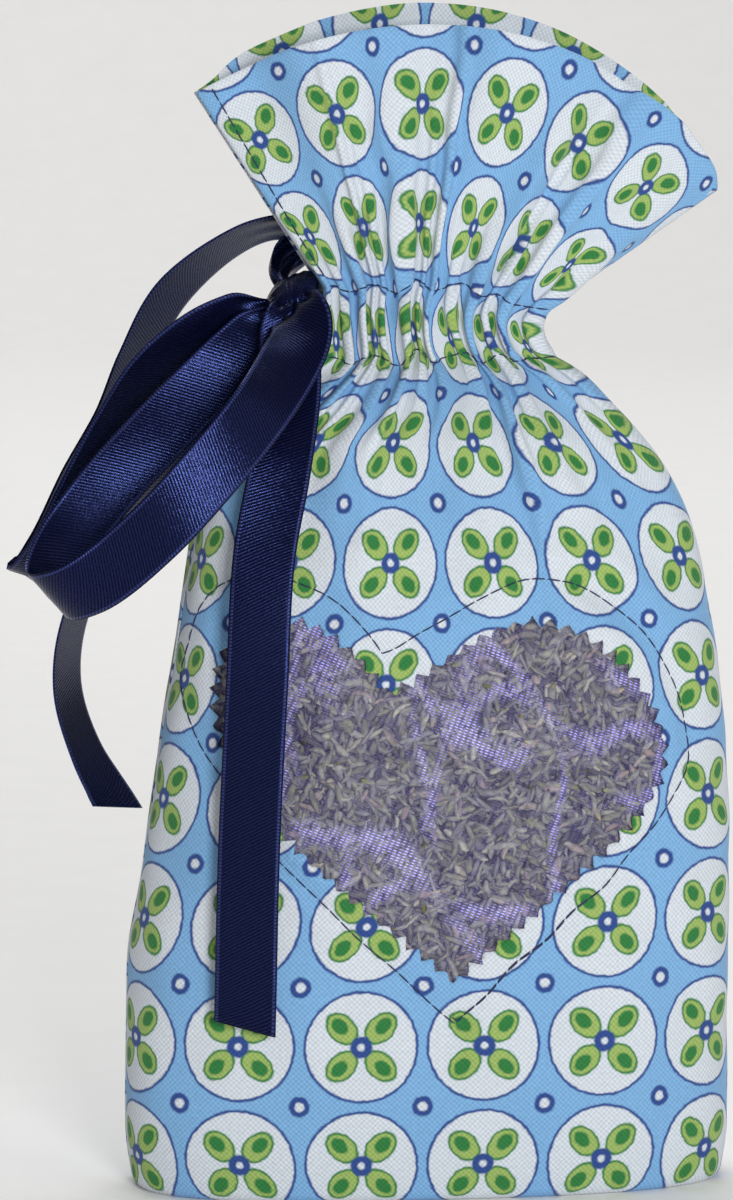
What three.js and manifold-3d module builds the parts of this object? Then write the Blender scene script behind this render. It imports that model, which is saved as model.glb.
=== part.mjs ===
// Lavender sachet: a filled drawstring pouch of printed cotton, with a heart-shaped window of sheer
// organza and a satin ribbon through its casing, tied in a bow at the left.
// Millimetres, +Z up. The pouch stands on its boxed base, its front faces -Y, and the origin is the
// centre of the base on the ground.
import * as THREE from "three";
import Module from "manifold-3d";

// Filled body
const BODY_WIDTH = 99;
const BODY_DEPTH = 42;
const BODY_SQUARENESS = 2.6;
const BASE_INSET = 3.4;
const CLOTH = 0.9;
const SEAM_GAP = 0.3;
const SHOULDER_SHIFT = 3;

// Gathered neck with the ribbon casing
const CASING_Z = 135;
const CASING_HEIGHT = 11.5;
const NECK_WIDTH = 35;
const NECK_HALF_DEPTH = 2.6;
const CASING_OUTER = 1.2;
const CASING_INNER = 1.6;
const PLEATS = 9;
const PLEAT_DEPTH = 2.3;

// Fanned mouth above the casing
const FAN_LEFT = THREE.MathUtils.degToRad(-33);
const FAN_RIGHT = THREE.MathUtils.degToRad(63);
const FAN_LENGTH_LEFT = 37;
const FAN_LENGTH_MIDDLE = 42;
const FAN_LENGTH_RIGHT = 33.5;
const BACK_EXTRA = 3.6;
const MOUTH_HALF_DEPTH = 11;
const SLIT_HALF = 2;
const FAN_CLOTH = 1.2;
const FAN_FOLDS = 4;
const FAN_FOLD_DEPTH = 2;
const FOLD_DROP = 18;
const FOLD_REACH = 13;
const FOLD_DEPTH = 0.8;
const FOLD_INWARD = 0.75;
const FRONT_FOLD_PHASE = 3.4;
const BACK_FOLD_PHASE = 5.1;

// Heart window and what lies behind it
const HEART_SIDE = 13;
const HEART_HEIGHT = 58.5;
const HEART_X = 0.2;
const HEART_Z = 65.2;
const HEART_TEETH = 54;
const TOOTH_DEPTH = 1.9;
const STITCH_MARGIN_SIDE = 4;
const STITCH_MARGIN_END = 7;
const ORGANZA = 0.4;
const LAYER_GAP = 0.3;
const LUMP_PITCH = 12;
const LUMP_DEPTH = 1.9;
const LUMP_ROW = 4;
const FILL_SIDE_GAP = 2.6;

// Sewing thread
const THREAD = 0.5;
const THREAD_LIFT = 0.35;

// Satin ribbon and its bow
const RIBBON_WIDTH = 10;
const RIBBON = 0.5;
const CHANNEL = 1.2;
const STRAND_REACH = 13.5;
const KNOT_RADIUS = 4.2;
const KNOT_FRONT = -6;
const KNOT_BACK = 5;
const KNOT_RISE = 9;
const KNOT_CLEARANCE = 0.7;

// Rows of the body: height as a part of the casing's height, share of the way from the neck to the
// belly in width and in depth, and share of the shoulders' shift to the right
const BODY_ROWS = [
  [0.018, 0.97, 0.93, 0],
  [0.067, 1, 1, 0],
  [0.148, 1, 1.02, 0],
  [0.267, 0.995, 1.02, 0.07],
  [0.4, 0.95, 1, 0.5],
  [0.533, 0.9, 0.95, 0.87],
  [0.652, 0.834, 0.87, 1],
  [0.741, 0.766, 0.78, 1],
  [0.807, 0.7, 0.69, 0.87],
  [0.867, 0.59, 0.58, 0.67],
  [0.919, 0.43, 0.45, 0.4],
  [0.959, 0.25, 0.29, 0.17],
];
const FAN_ROWS = [0.2, 0.45, 0.72, 1];
const COLUMNS = PLEATS * 4;

const CASING_TOP = CASING_Z + CASING_HEIGHT;
const HEART_WIDTH = BODY_WIDTH - 2 * HEART_SIDE;
const NECK_HALF = NECK_WIDTH / 2;
const KNOT_X = -NECK_HALF - KNOT_CLEARANCE - KNOT_RADIUS;
const KNOT_Z = CASING_Z + KNOT_RISE;

const wasm = await Module();
wasm.setup();

const V = (x, y, z) => new THREE.Vector3(x, y, z);
const lerp = THREE.MathUtils.lerp;

// Closed body lofted through rings of points. A strip ring holds one face from left to right and the
// other face back again, and its end is closed across the thickness. A fan end closes a convex ring.
function loft(rings, end) {
  const size = rings[0].length;
  const count = rings.length;
  const index = [];
  const closed = end === "loop";
  const spans = closed ? count : count - 1;
  for (let r = 0; r < spans; r += 1) {
    const a = r * size;
    const b = ((r + 1) % count) * size;
    for (let i = 0; i < size; i += 1) {
      const k = (i + 1) % size;
      index.push(a + i, a + k, b + k, a + i, b + k, b + i);
    }
  }
  if (!closed) {
    for (const [start, turned] of [[0, true], [(count - 1) * size, false]]) {
      const cap = [];
      if (end === "strip") {
        for (let i = 0; i < size / 2 - 1; i += 1) {
          const o = size - 1 - i;
          cap.push([i, i + 1, o - 1], [i, o - 1, o]);
        }
      } else {
        for (let i = 1; i < size - 1; i += 1) {
          cap.push([0, i, i + 1]);
        }
      }
      for (const [p, q, s] of cap) {
        index.push(start + p, start + (turned ? s : q), start + (turned ? q : s));
      }
    }
  }
  const points = rings.flat();
  let volume = 0;
  for (let i = 0; i < index.length; i += 3) {
    const [p, q, s] = [points[index[i]], points[index[i + 1]], points[index[i + 2]]];
    volume += p.dot(q.clone().cross(s));
  }
  if (volume < 0) {
    for (let i = 0; i < index.length; i += 3) {
      [index[i + 1], index[i + 2]] = [index[i + 2], index[i + 1]];
    }
  }
  const geometry = new THREE.BufferGeometry();
  const flat = new Float32Array(points.flatMap((p) => [p.x, p.y, p.z]));
  geometry.setAttribute("position", new THREE.BufferAttribute(flat, 3));
  geometry.setIndex(index);
  return geometry;
}

// One geometry less another
function cut(geometry, tool) {
  const solid = (g) => new wasm.Manifold(new wasm.Mesh({
    numProp: 3,
    vertProperties: Float32Array.from(g.attributes.position.array),
    triVerts: Uint32Array.from(g.index.array),
  }));
  const mesh = solid(geometry).subtract(solid(tool)).getMesh();
  const result = new THREE.BufferGeometry();
  result.setAttribute("position", new THREE.BufferAttribute(mesh.vertProperties, 3));
  result.setIndex(new THREE.BufferAttribute(mesh.triVerts, 1));
  return result;
}

// Round thread through points, open or as a loop
function thread(points, loop) {
  const rings = points.map((p, i) => {
    const before = points[loop ? (i + points.length - 1) % points.length : Math.max(i - 1, 0)];
    const after = points[loop ? (i + 1) % points.length : Math.min(i + 1, points.length - 1)];
    const along = after.clone().sub(before).normalize();
    const side = along.clone().cross(V(0.31, 1, 0.17)).normalize();
    const up = side.clone().cross(along);
    return [0, 1, 2, 3, 4].map((k) => {
      const turn = (k / 5) * Math.PI * 2;
      return p.clone()
        .addScaledVector(side, Math.cos(turn) * THREAD / 2)
        .addScaledVector(up, Math.sin(turn) * THREAD / 2);
    });
  });
  return loft(rings, loop ? "loop" : "fan");
}

// Flat ribbon along a smooth path, with the direction of its width given at each point
function ribbon(route, steps) {
  const path = new THREE.CatmullRomCurve3(route.map((r) => V(...r[0])), false, "centripetal");
  const across = new THREE.CatmullRomCurve3(route.map((r) => V(...r[1])));
  const rings = [];
  for (let i = 0; i <= steps; i += 1) {
    const t = i / steps;
    const p = path.getPoint(t);
    const along = path.getTangent(t);
    const wide = across.getPoint(t);
    wide.addScaledVector(along, -wide.dot(along)).normalize().multiplyScalar(RIBBON_WIDTH / 2);
    const thick = along.clone().cross(wide).normalize().multiplyScalar(RIBBON / 2);
    rings.push([
      p.clone().sub(wide).add(thick),
      p.clone().add(wide).add(thick),
      p.clone().add(wide).sub(thick),
      p.clone().sub(wide).sub(thick),
    ]);
  }
  return loft(rings, "strip");
}

// Points spread evenly along a polyline, each with its outward direction in plan
function spread(line) {
  const lengths = [0];
  for (let i = 1; i < line.length; i += 1) {
    lengths.push(lengths[i - 1] + line[i].distanceTo(line[i - 1]));
  }
  const total = lengths[lengths.length - 1];
  const out = [];
  let i = 1;
  for (let j = 0; j <= COLUMNS; j += 1) {
    const want = (total * j) / COLUMNS;
    while (i < line.length - 1 && lengths[i] < want) {
      i += 1;
    }
    const k = (want - lengths[i - 1]) / (lengths[i] - lengths[i - 1]);
    const along = line[i].clone().sub(line[i - 1]).setZ(0).normalize();
    out.push({ p: line[i - 1].clone().lerp(line[i], k), n: V(along.y, -along.x, 0) });
  }
  return out;
}

// Front half of a rounded oblong section at one height, from the left seam to the right seam
function oblong(halfWidth, halfDepth, x, z, squareness) {
  const line = [];
  for (let i = 0; i <= 240; i += 1) {
    const turn = Math.PI * (1 - i / 240);
    const c = Math.cos(turn);
    const s = Math.sin(turn);
    line.push(V(
      x + halfWidth * Math.sign(c) * Math.abs(c) ** (2 / squareness),
      -halfDepth * s ** (2 / squareness) - SEAM_GAP / 2,
      z,
    ));
  }
  const row = spread(line);
  row[0].n.set(-1, 0, 0);
  row[COLUMNS].n.set(1, 0, 0);
  return row;
}

// Front half of the neck: straight along the casing, turning round at the right
function hairpin(z) {
  const line = [V(-NECK_HALF, -NECK_HALF_DEPTH - SEAM_GAP / 2, z)];
  const bend = NECK_HALF - NECK_HALF_DEPTH;
  for (let i = 0; i <= 24; i += 1) {
    const turn = (i / 24) * Math.PI / 2;
    const y = -NECK_HALF_DEPTH * Math.cos(turn) - SEAM_GAP / 2;
    line.push(V(bend + NECK_HALF_DEPTH * Math.sin(turn), y, z));
  }
  const row = spread(line);
  row[0].n.set(0, -1, 0);
  row[COLUMNS].n.set(1, 0, 0);
  return row;
}

// Front half of the fan, a share of the way from the casing to the rim
function fan(share, extra) {
  const neck = hairpin(CASING_TOP);
  const line = [];
  for (let i = 0; i <= 240; i += 1) {
    const f = i / 240;
    const at = f * COLUMNS;
    const j = Math.min(Math.floor(at), COLUMNS - 1);
    const start = neck[j].p.clone().lerp(neck[j + 1].p, at - j);
    const lean = lerp(FAN_LEFT, FAN_RIGHT, f);
    const middle = Math.sin(Math.PI * f);
    const reach = share * (lerp(FAN_LENGTH_LEFT, FAN_LENGTH_RIGHT, f)
      + (FAN_LENGTH_MIDDLE + extra - lerp(FAN_LENGTH_LEFT, FAN_LENGTH_RIGHT, 0.5)) * middle);
    const open = (SLIT_HALF + (MOUTH_HALF_DEPTH - SLIT_HALF) * middle ** 0.8) * Math.sqrt(1 - f ** 8);
    const ease = share * (2 - share);
    line.push(V(
      start.x + reach * Math.sin(lean),
      lerp(start.y, -open - SEAM_GAP / 2, ease),
      start.z + reach * Math.cos(lean),
    ));
  }
  const row = spread(line);
  row[COLUMNS].n.set(1, 0, 0);
  return row;
}

// Gathers: pleats that start in a hollow at the side, with uneven depth
function pleat(j) {
  const turn = (2 * Math.PI * PLEATS * j) / COLUMNS;
  return (0.5 - 0.5 * Math.cos(turn)) * (0.85 + 0.15 * Math.sin(j * 1.7));
}
function fold(j) {
  const end = Math.min(1, (COLUMNS - j) / 3);
  return (0.5 - 0.5 * Math.cos((2 * Math.PI * FAN_FOLDS * j) / COLUMNS)) * end;
}

// One row of cloth, with the distance of its outer and inner faces from the drawn line
function clothRow(points, outer, inner) {
  return points.map(({ p, n }, j) => {
    const out = p.clone().addScaledVector(n, outer(j));
    const deep = p.clone().addScaledVector(n, inner(j));
    out.y = Math.min(out.y, -SEAM_GAP / 2);
    deep.y = Math.min(deep.y, -SEAM_GAP / 2);
    return { out, deep, p, n };
  });
}

const halfWidth = (share) => lerp(NECK_HALF, BODY_WIDTH / 2, share);
const halfDepth = (share) => lerp(NECK_HALF_DEPTH + CASING_OUTER, BODY_DEPTH / 2, share);
const rowHeight = (k) => BODY_ROWS[k][0] * CASING_Z;

// How much thicker cloth is when measured level on a sloping row
function slant(k) {
  const a = Math.max(k - 1, 0);
  const b = Math.min(k + 1, BODY_ROWS.length - 1);
  const fall = halfDepth(BODY_ROWS[b][2]) - halfDepth(BODY_ROWS[a][2]);
  const slope = fall / (rowHeight(b) - rowHeight(a));
  return Math.min(Math.hypot(1, slope), 1.8);
}

function bodyLine(k, widthGap, depthGap) {
  const [, w, d, l] = BODY_ROWS[k];
  const middle = SHOULDER_SHIFT * l;
  return oblong(halfWidth(w) - widthGap, halfDepth(d) - depthGap, middle, rowHeight(k), BODY_SQUARENESS);
}

// Soft folds on the shoulders, which start above the given height and keep clear of the layers inside
function shoulderFold(z, j, phase, from) {
  const u = j / COLUMNS;
  const rise = THREE.MathUtils.smoothstep(z, from, from + 8);
  const near = rise * Math.exp(-(((CASING_Z - z - FOLD_DROP) / FOLD_REACH) ** 2));
  const wave = Math.sin(10 * Math.PI * u + 1.3 * phase) + 0.6 * Math.sin(17.4 * Math.PI * u + phase);
  return Math.max(FOLD_DEPTH * near * wave * Math.sin(Math.PI * u), -FOLD_INWARD);
}

// Rows of a panel, from the seam in the middle of the base to the rim of the mouth
function panelRows(extra, phase, foldsFrom) {
  const foot = oblong(halfWidth(0.97) - BASE_INSET, halfDepth(0.93) - BASE_INSET, 0, 0, BODY_SQUARENESS);
  const middle = foot.map(({ p, n }) => ({ p: V(p.x * 0.94, -SEAM_GAP / 2, 0), n }));
  const floor = (points) => clothRow(points, () => 0, () => 0).map((c) => {
    c.deep.z = CLOTH;
    return c;
  });
  const rows = [floor(middle), floor(foot)];
  BODY_ROWS.forEach((row, k) => {
    const depth = PLEAT_DEPTH * Math.max(0, 1 - row[1]) ** 2 * (row[0] > 0.7 ? 1 : 0);
    const wall = CLOTH * slant(k);
    const rise = (j) => depth * pleat(j) + shoulderFold(rowHeight(k), j, phase, foldsFrom);
    rows.push(clothRow(bodyLine(k, 0, 0), rise, (j) => rise(j) - wall));
  });
  for (const z of [CASING_Z, CASING_TOP]) {
    const outer = (j) => CASING_OUTER + PLEAT_DEPTH * pleat(j);
    rows.push(clothRow(hairpin(z), outer, () => -CASING_INNER));
  }
  for (const share of FAN_ROWS) {
    const rise = (j) => PLEAT_DEPTH * (1 - share) * pleat(j) + FAN_FOLD_DEPTH * share * fold(j);
    rows.push(clothRow(fan(share, extra), rise, (j) => rise(j) - FAN_CLOTH));
  }
  return rows;
}

const strip = (row) => [...row.map((c) => c.out), ...row.map((c) => c.deep).reverse()];
const toBack = (geometry) => {
  const turned = geometry.clone();
  turned.scale(1, -1, 1);
  const index = turned.index.array;
  for (let i = 0; i < index.length; i += 3) {
    [index[i + 1], index[i + 2]] = [index[i + 2], index[i + 1]];
  }
  return turned;
};

// Passage for the ribbon between the two layers of the casing, open at both ends
function channel() {
  const rows = [CASING_Z + 0.5, CASING_TOP - 0.5].map((z) => {
    const row = hairpin(z);
    const first = { p: row[0].p.clone().add(V(-2 * KNOT_RADIUS, 0, 0)), n: row[0].n };
    const last = { p: row[COLUMNS].p.clone().add(V(0, 2, 0)), n: row[COLUMNS].n };
    const all = [first, ...row, last];
    const out = all.map(({ p, n }) => p.clone().addScaledVector(n, CHANNEL / 2));
    const deep = all.map(({ p, n }) => p.clone().addScaledVector(n, -CHANNEL / 2));
    return [...out, ...deep.reverse()];
  });
  return loft(rows, "strip");
}

// Heart outline on the front, drawn as seen from the front
function heart(width, height, notch) {
  const at = (u, v) => [HEART_X + u * width, HEART_Z + v * height];
  const shape = new THREE.Shape();
  shape.moveTo(...at(-0.13, notch));
  shape.bezierCurveTo(...at(-0.03, notch + 0.02), ...at(0.07, 0.484), ...at(0.2, 0.484));
  shape.bezierCurveTo(...at(0.34, 0.484), ...at(0.5, 0.28), ...at(0.5, 0.1));
  shape.bezierCurveTo(...at(0.5, -0.07), ...at(0.17, -0.32), ...at(0.02, -0.5));
  shape.bezierCurveTo(...at(-0.14, -0.33), ...at(-0.5, -0.02), ...at(-0.5, 0.25));
  shape.bezierCurveTo(...at(-0.5, 0.4), ...at(-0.45, 0.5), ...at(-0.36, 0.5));
  shape.bezierCurveTo(...at(-0.27, 0.5), ...at(-0.18, notch + 0.1), ...at(-0.13, notch));
  return shape;
}

// Heart cut with pinking shears: every other point of the outline lies a tooth deeper
function pinkedHeart() {
  const points = heart(HEART_WIDTH, HEART_HEIGHT, 0.3).getSpacedPoints(HEART_TEETH * 2).slice(0, -1);
  const toothed = points.map((p, i) => {
    const before = points[(i + points.length - 1) % points.length];
    const after = points[(i + 1) % points.length];
    const along = after.clone().sub(before).normalize();
    const depth = (i % 2 ? 0.5 : -0.5) * TOOTH_DEPTH;
    return new THREE.Vector2(p.x - along.y * depth, p.y + along.x * depth);
  });
  const solid = new THREE.ExtrudeGeometry(new THREE.Shape(toothed), {
    depth: BODY_DEPTH,
    bevelEnabled: false,
  });
  solid.rotateX(Math.PI / 2);
  solid.deleteAttribute("normal");
  solid.deleteAttribute("uv");
  return mergeFlat(solid);
}

// Shared corners of an extruded solid joined to single vertices
function mergeFlat(geometry) {
  const seen = new Map();
  const points = [];
  const index = [];
  const p = geometry.attributes.position;
  const count = geometry.index ? geometry.index.count : p.count;
  for (let i = 0; i < count; i += 1) {
    const v = geometry.index ? geometry.index.getX(i) : i;
    const key = [p.getX(v), p.getY(v), p.getZ(v)].map((c) => Math.round(c * 1e4)).join(" ");
    if (!seen.has(key)) {
      seen.set(key, points.length / 3);
      points.push(p.getX(v), p.getY(v), p.getZ(v));
    }
    index.push(seen.get(key));
  }
  const merged = new THREE.BufferGeometry();
  merged.setAttribute("position", new THREE.BufferAttribute(new Float32Array(points), 3));
  merged.setIndex(index);
  return merged;
}

const group = new THREE.Group();
const place = (name, geometry, color, roughness = 0.9) => {
  geometry.computeVertexNormals();
  const mesh = new THREE.Mesh(geometry, new THREE.MeshStandardMaterial({ color, roughness, metalness: 0 }));
  mesh.name = name;
  group.add(mesh);
  return mesh;
};
const COTTON = 0x9fcbe8;
const NAVY = 0x1c2050;
const THREAD_NAVY = 0x232d5c;

// Two cotton panels, each cut in one piece from the base seam to the rim
const frontRows = panelRows(0, FRONT_FOLD_PHASE, 0.81 * CASING_Z);
const backRows = panelRows(BACK_EXTRA, BACK_FOLD_PHASE, 0.6 * CASING_Z);
const passage = channel();
const frontWhole = loft(frontRows.map(strip), "strip");
place("front_panel", cut(cut(frontWhole, passage), pinkedHeart()), COTTON);
place("back_panel", toBack(cut(loft(backRows.map(strip), "strip"), passage)), COTTON);

// Organza patch behind the window, one layer inside the front panel
const FIRST_COLUMN = 2;
const LAST_COLUMN = COLUMNS - 2;
const patch = [];
for (let k = 2; k <= 8; k += 1) {
  const deep = CLOTH * slant(k) + LAYER_GAP * slant(k);
  const row = clothRow(bodyLine(k, 0, 0), () => -deep, () => -deep - ORGANZA * slant(k));
  patch.push(strip(row.slice(FIRST_COLUMN, LAST_COLUMN + 1)));
}
place("organza_window", loft(patch, "strip"), 0x9a93c4, 0.4);

// Dried lavender, filling the body up to the shoulder, with a lumpy surface
const buds = [];
const lastFill = 10;
const fillRow = (k) => {
  const deep = (CLOTH + LAYER_GAP * 2 + ORGANZA) * slant(k);
  const front = bodyLine(k, FILL_SIDE_GAP, deep);
  if (k === 0) {
    front.forEach(({ p }) => p.set(p.x * 0.88, p.y * 0.88, CLOTH + LAYER_GAP));
  }
  return front;
};
for (let k = 0; k <= lastFill; k += 1) {
  const here = fillRow(k);
  const next = fillRow(Math.min(k + 1, lastFill));
  const steps = k === lastFill ? 1 : Math.ceil((next[0].p.z - here[0].p.z) / LUMP_ROW);
  for (let i = 0; i < steps; i += 1) {
    const front = here.map(({ p, n }, j) => {
      const point = p.clone().lerp(next[j].p, i / steps);
      const wave = Math.cos((2 * Math.PI * point.x) / LUMP_PITCH + 0.6 * Math.sin(point.z / 9))
        * Math.cos((2 * Math.PI * point.z) / LUMP_PITCH);
      const ends = k + i === 0 || k === lastFill || j === 0 || j === COLUMNS ? 0 : 1;
      return point.addScaledVector(n, -ends * (LUMP_DEPTH / 2) * (1 - wave));
    });
    const back = front.map((p) => V(p.x, -p.y, p.z)).reverse();
    buds.push([...front, ...back]);
  }
}
place("lavender_fill", loft(buds, "fan"), 0x6c6468, 1);

// Stitching that holds the organza, a loop on the front around the window
const ray = new THREE.Raycaster();
const target = new THREE.Mesh(frontWhole, new THREE.MeshBasicMaterial());
const onFront = (x, z) => {
  ray.set(V(x, -BODY_DEPTH, z), V(0, 1, 0));
  const [hit] = ray.intersectObject(target);
  return hit.point.addScaledVector(hit.face.normal, THREAD_LIFT + THREAD / 2);
};
const sewn = heart(HEART_WIDTH + 2 * STITCH_MARGIN_SIDE, HEART_HEIGHT + 2 * STITCH_MARGIN_END, 0.33)
  .getSpacedPoints(80).slice(0, -1);
place("heart_stitching", thread(sewn.map((p) => onFront(p.x, p.y)), true), THREAD_NAVY);

// Two rows of casing stitches on each panel
const casingRow = BODY_ROWS.length + 2;
for (const [label, row] of [["lower", casingRow], ["upper", casingRow + 1]]) {
  const lift = (c) => c.out.clone().addScaledVector(c.n, THREAD_LIFT + THREAD / 2);
  const line = (rows) => rows[row].slice(1, COLUMNS - 1).map(lift);
  place(`front_casing_stitch_${label}`, thread(line(frontRows), false), THREAD_NAVY);
  place(`back_casing_stitch_${label}`, toBack(thread(line(backRows), false)), THREAD_NAVY);
}

// Topstitched hems along the slit at the left of the mouth
const hem = (rows) => rows.slice(casingRow + 1).map((row, i) => {
  const c = row[1];
  return c.out.clone().addScaledVector(c.n, THREAD_LIFT + THREAD / 2 + (i ? 0.5 : 0.9))
    .add(V(0, 0, i ? 0 : 1.2));
});
place("front_slit_stitch", thread(hem(frontRows), false), THREAD_NAVY);
place("back_slit_stitch", toBack(thread(hem(backRows), false)), THREAD_NAVY);

// Seam thread inside the side seams and along the base seam
const seamInset = CLOTH + THREAD_LIFT + THREAD / 2;
const sideSeam = (side) => BODY_ROWS.slice(1, lastFill + 1).map(([h, w, , l], k) => {
  const x = side * (halfWidth(w) - seamInset * slant(k + 1)) + SHOULDER_SHIFT * l;
  return V(x, 0, h * CASING_Z);
});
place("left_side_seam_thread", thread(sideSeam(-1), false), 0xb8c4d4);
place("right_side_seam_thread", thread(sideSeam(1), false), 0xb8c4d4);

// Ribbon inside the casing: the bend at the right stays, the two strands slide out with the bow
const ribbonZ = CASING_Z + CASING_HEIGHT / 2;
const strandEnd = -NECK_HALF + STRAND_REACH;
const bendRow = hairpin(0);
const frontTurn = bendRow.map((c) => c.p).filter((p) => p.x > strandEnd + 1);
const turn = [...frontTurn, ...frontTurn.map((p) => V(p.x, -p.y, p.z)).reverse()];
const bendNormals = turn.map((p, i) => {
  const before = turn[Math.max(i - 1, 0)];
  const after = turn[Math.min(i + 1, turn.length - 1)];
  return V(after.y - before.y, before.x - after.x, 0).normalize();
});
const upright = (p, n) => [[-1, 1], [1, 1], [1, -1], [-1, -1]].map(([high, out]) => V(
  p.x + n.x * out * RIBBON / 2,
  p.y + n.y * out * RIBBON / 2,
  ribbonZ + high * RIBBON_WIDTH / 2,
));
place("casing_ribbon", loft(turn.map((p, i) => upright(p, bendNormals[i])), "strip"), NAVY, 0.35);
for (const [label, side] of [["front", -1], ["back", 1]]) {
  const y = side * (NECK_HALF_DEPTH + SEAM_GAP / 2);
  const ends = [V(-NECK_HALF - 0.3, y, 0), V(strandEnd, y, 0)];
  place(`${label}_strand`, loft(ends.map((p) => upright(p, V(0, side, 0))), "strip"), NAVY, 0.35);
}

// Knot: the ribbon wound on itself about a level axis
const half = (KNOT_BACK - KNOT_FRONT) / 2;
const wound = [
  [0, -half], [0.62, -half], [0.9, -half * 0.82], [1, -half * 0.4], [0.9, -half * 0.12], [1, half * 0.2],
  [0.97, half * 0.66], [0.66, half], [0, half],
].map(([r, y]) => new THREE.Vector2(r * KNOT_RADIUS, y));
const knot = new THREE.LatheGeometry(wound, 20);
knot.deleteAttribute("normal");
knot.deleteAttribute("uv");
const knotMesh = place("bow_knot", mergeKnot(knot), NAVY, 0.35);
knotMesh.position.set(KNOT_X, (KNOT_FRONT + KNOT_BACK) / 2, KNOT_Z);
function mergeKnot(geometry) {
  const merged = mergeFlat(geometry);
  const index = [...merged.index.array];
  const kept = [];
  for (let i = 0; i < index.length; i += 3) {
    const [a, b, c] = index.slice(i, i + 3);
    if (a !== b && b !== c && a !== c) {
      kept.push(a, b, c);
    }
  }
  merged.setIndex(kept);
  return merged;
}

// Loops of the bow: distance from the knot along the fall of the loop, distance across it in the front
// view, place from front to back, how far the ribbon's width is tilted out of the front view, and how far
// it is turned in that view where the ribbon enters the knot
const LOOP_FALL = THREE.MathUtils.degToRad(44);
const FRONT_LOOP = [
  [4.7, 0, -3.6, 4, 0],
  [16, -0.4, -3.4, 4, 0],
  [30, -0.4, -4.2, 5, 0],
  [44, 0.2, -6.4, 6, 0],
  [55, 1.8, -10.4, 8, 0],
  [59.5, 4.4, -16, 10, 0],
  [55, 7.2, -22, 10, 0],
  [42, 8, -26, 8, 0],
  [28, 7.2, -26.6, 6, 0],
  [16, 6.2, -23.6, 5, 0],
  [8, 5, -17.4, 4, 22],
  [3, 3.6, -13.2, 2, 58],
  [0.2, 1.2, -9.8, 0, 90],
];
const REAR_LOOP = [
  [4.5, -1.8, 1.2, 10, 0],
  [13.2, -6.1, 2.4, 24, 0],
  [23.3, -7.2, 4, 34, 0],
  [34, -4.8, 6, 42, 0],
  [47, -0.6, 8, 40, 0],
  [57, 3.2, 10.6, 34, 0],
  [61.5, 4.6, 14.2, 32, 0],
  [57, 2.6, 17.6, 44, 0],
  [46, -1.6, 18.8, 54, 0],
  [34, -5, 17.8, 60, 0],
  [24, -9.4, 16, 62, 0],
  [12, -13.2, 13.4, 62, 0],
  [-1.8, -11.6, 12.8, 68, 0],
  [-8, -8.4, 13.2, 78, 0],
  [-10, -6, 13.6, 84, 0],
  [-8.2, -4.2, 13.6, 88, 0],
  [-5, -4.2, 12.6, 88, 0],
  [-2, -3.5, 7.4, 84, 0],
];
function loopRoute(drawn) {
  const along = V(-Math.cos(LOOP_FALL), 0, -Math.sin(LOOP_FALL));
  const across = V(Math.sin(LOOP_FALL), 0, -Math.cos(LOOP_FALL));
  return drawn.map(([p, q, y, tilt, turn]) => {
    const t = THREE.MathUtils.degToRad(tilt);
    const r = THREE.MathUtils.degToRad(turn);
    const point = V(0, y, 0).addScaledVector(along, p).addScaledVector(across, q);
    const wide = across.clone().multiplyScalar(Math.cos(t)).add(V(0, Math.sin(t), 0));
    wide.multiplyScalar(Math.cos(r)).addScaledVector(along, -Math.sin(r));
    return [point.toArray(), wide.toArray()];
  });
}

// Tails of the bow: points from the knot outwards, and the direction of the ribbon's width
const FRONT_TAIL = [
  [[-0.6, -6.75, -0.4], [1, 0, 0]],
  [[-0.9, -7.8, -7], [1, 0, 0]],
  [[-1.4, -11.4, -14.4], [1, 0, 0]],
  [[-3.6, -16.6, -26], [1, -0.06, 0]],
  [[-6.4, -20.2, -39], [1, -0.1, 0]],
  [[-7.8, -22.8, -58], [1, -0.1, 0]],
  [[-9.2, -23.4, -84], [1, -0.1, 0]],
  [[-10, -23.2, -114.6], [1, -0.1, 0]],
];
const REAR_TAIL = [
  [[-3.5, 4.2, -3.1], [0.7, 0, -0.7]],
  [[-12, 8, -15.6], [0.6, 0.3, -0.6]],
  [[-25.6, 10.2, -35.4], [0.4, 1, -0.2]],
  [[-34, 10.4, -51], [0.3, 1, 0]],
  [[-35.6, 10.4, -63], [0.25, 1, 0.05]],
  [[-32.6, 9.6, -74], [0.2, 1, 0.15]],
  [[-27.6, 8.6, -83], [0.15, 1, 0.2]],
];
const fromKnot = (route) => route.map(([p, w]) => [[p[0] + KNOT_X, p[1], p[2] + KNOT_Z], w]);
place("front_loop", ribbon(fromKnot(loopRoute(FRONT_LOOP)), 44), NAVY, 0.35);
place("rear_loop", ribbon(fromKnot(loopRoute(REAR_LOOP)), 40), NAVY, 0.35);
place("front_tail", ribbon(fromKnot(FRONT_TAIL), 24), NAVY, 0.35);
place("rear_tail", ribbon(fromKnot(REAR_TAIL), 24), NAVY, 0.35);

export default group;
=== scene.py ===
"""Lavender sachet: a filled drawstring pouch of printed cotton with a heart window of sheer organza,
dried lavender behind it, and a navy satin ribbon through the casing, tied in a bow at the left.

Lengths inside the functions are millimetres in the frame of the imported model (+Z up, front towards -Y),
and meshes are written in metres.
"""

import bpy
import numpy as np
from bpy.props import FloatProperty, FloatVectorProperty, IntProperty, PointerProperty
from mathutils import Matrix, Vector
from mathutils.geometry import delaunay_2d_cdt


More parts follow.
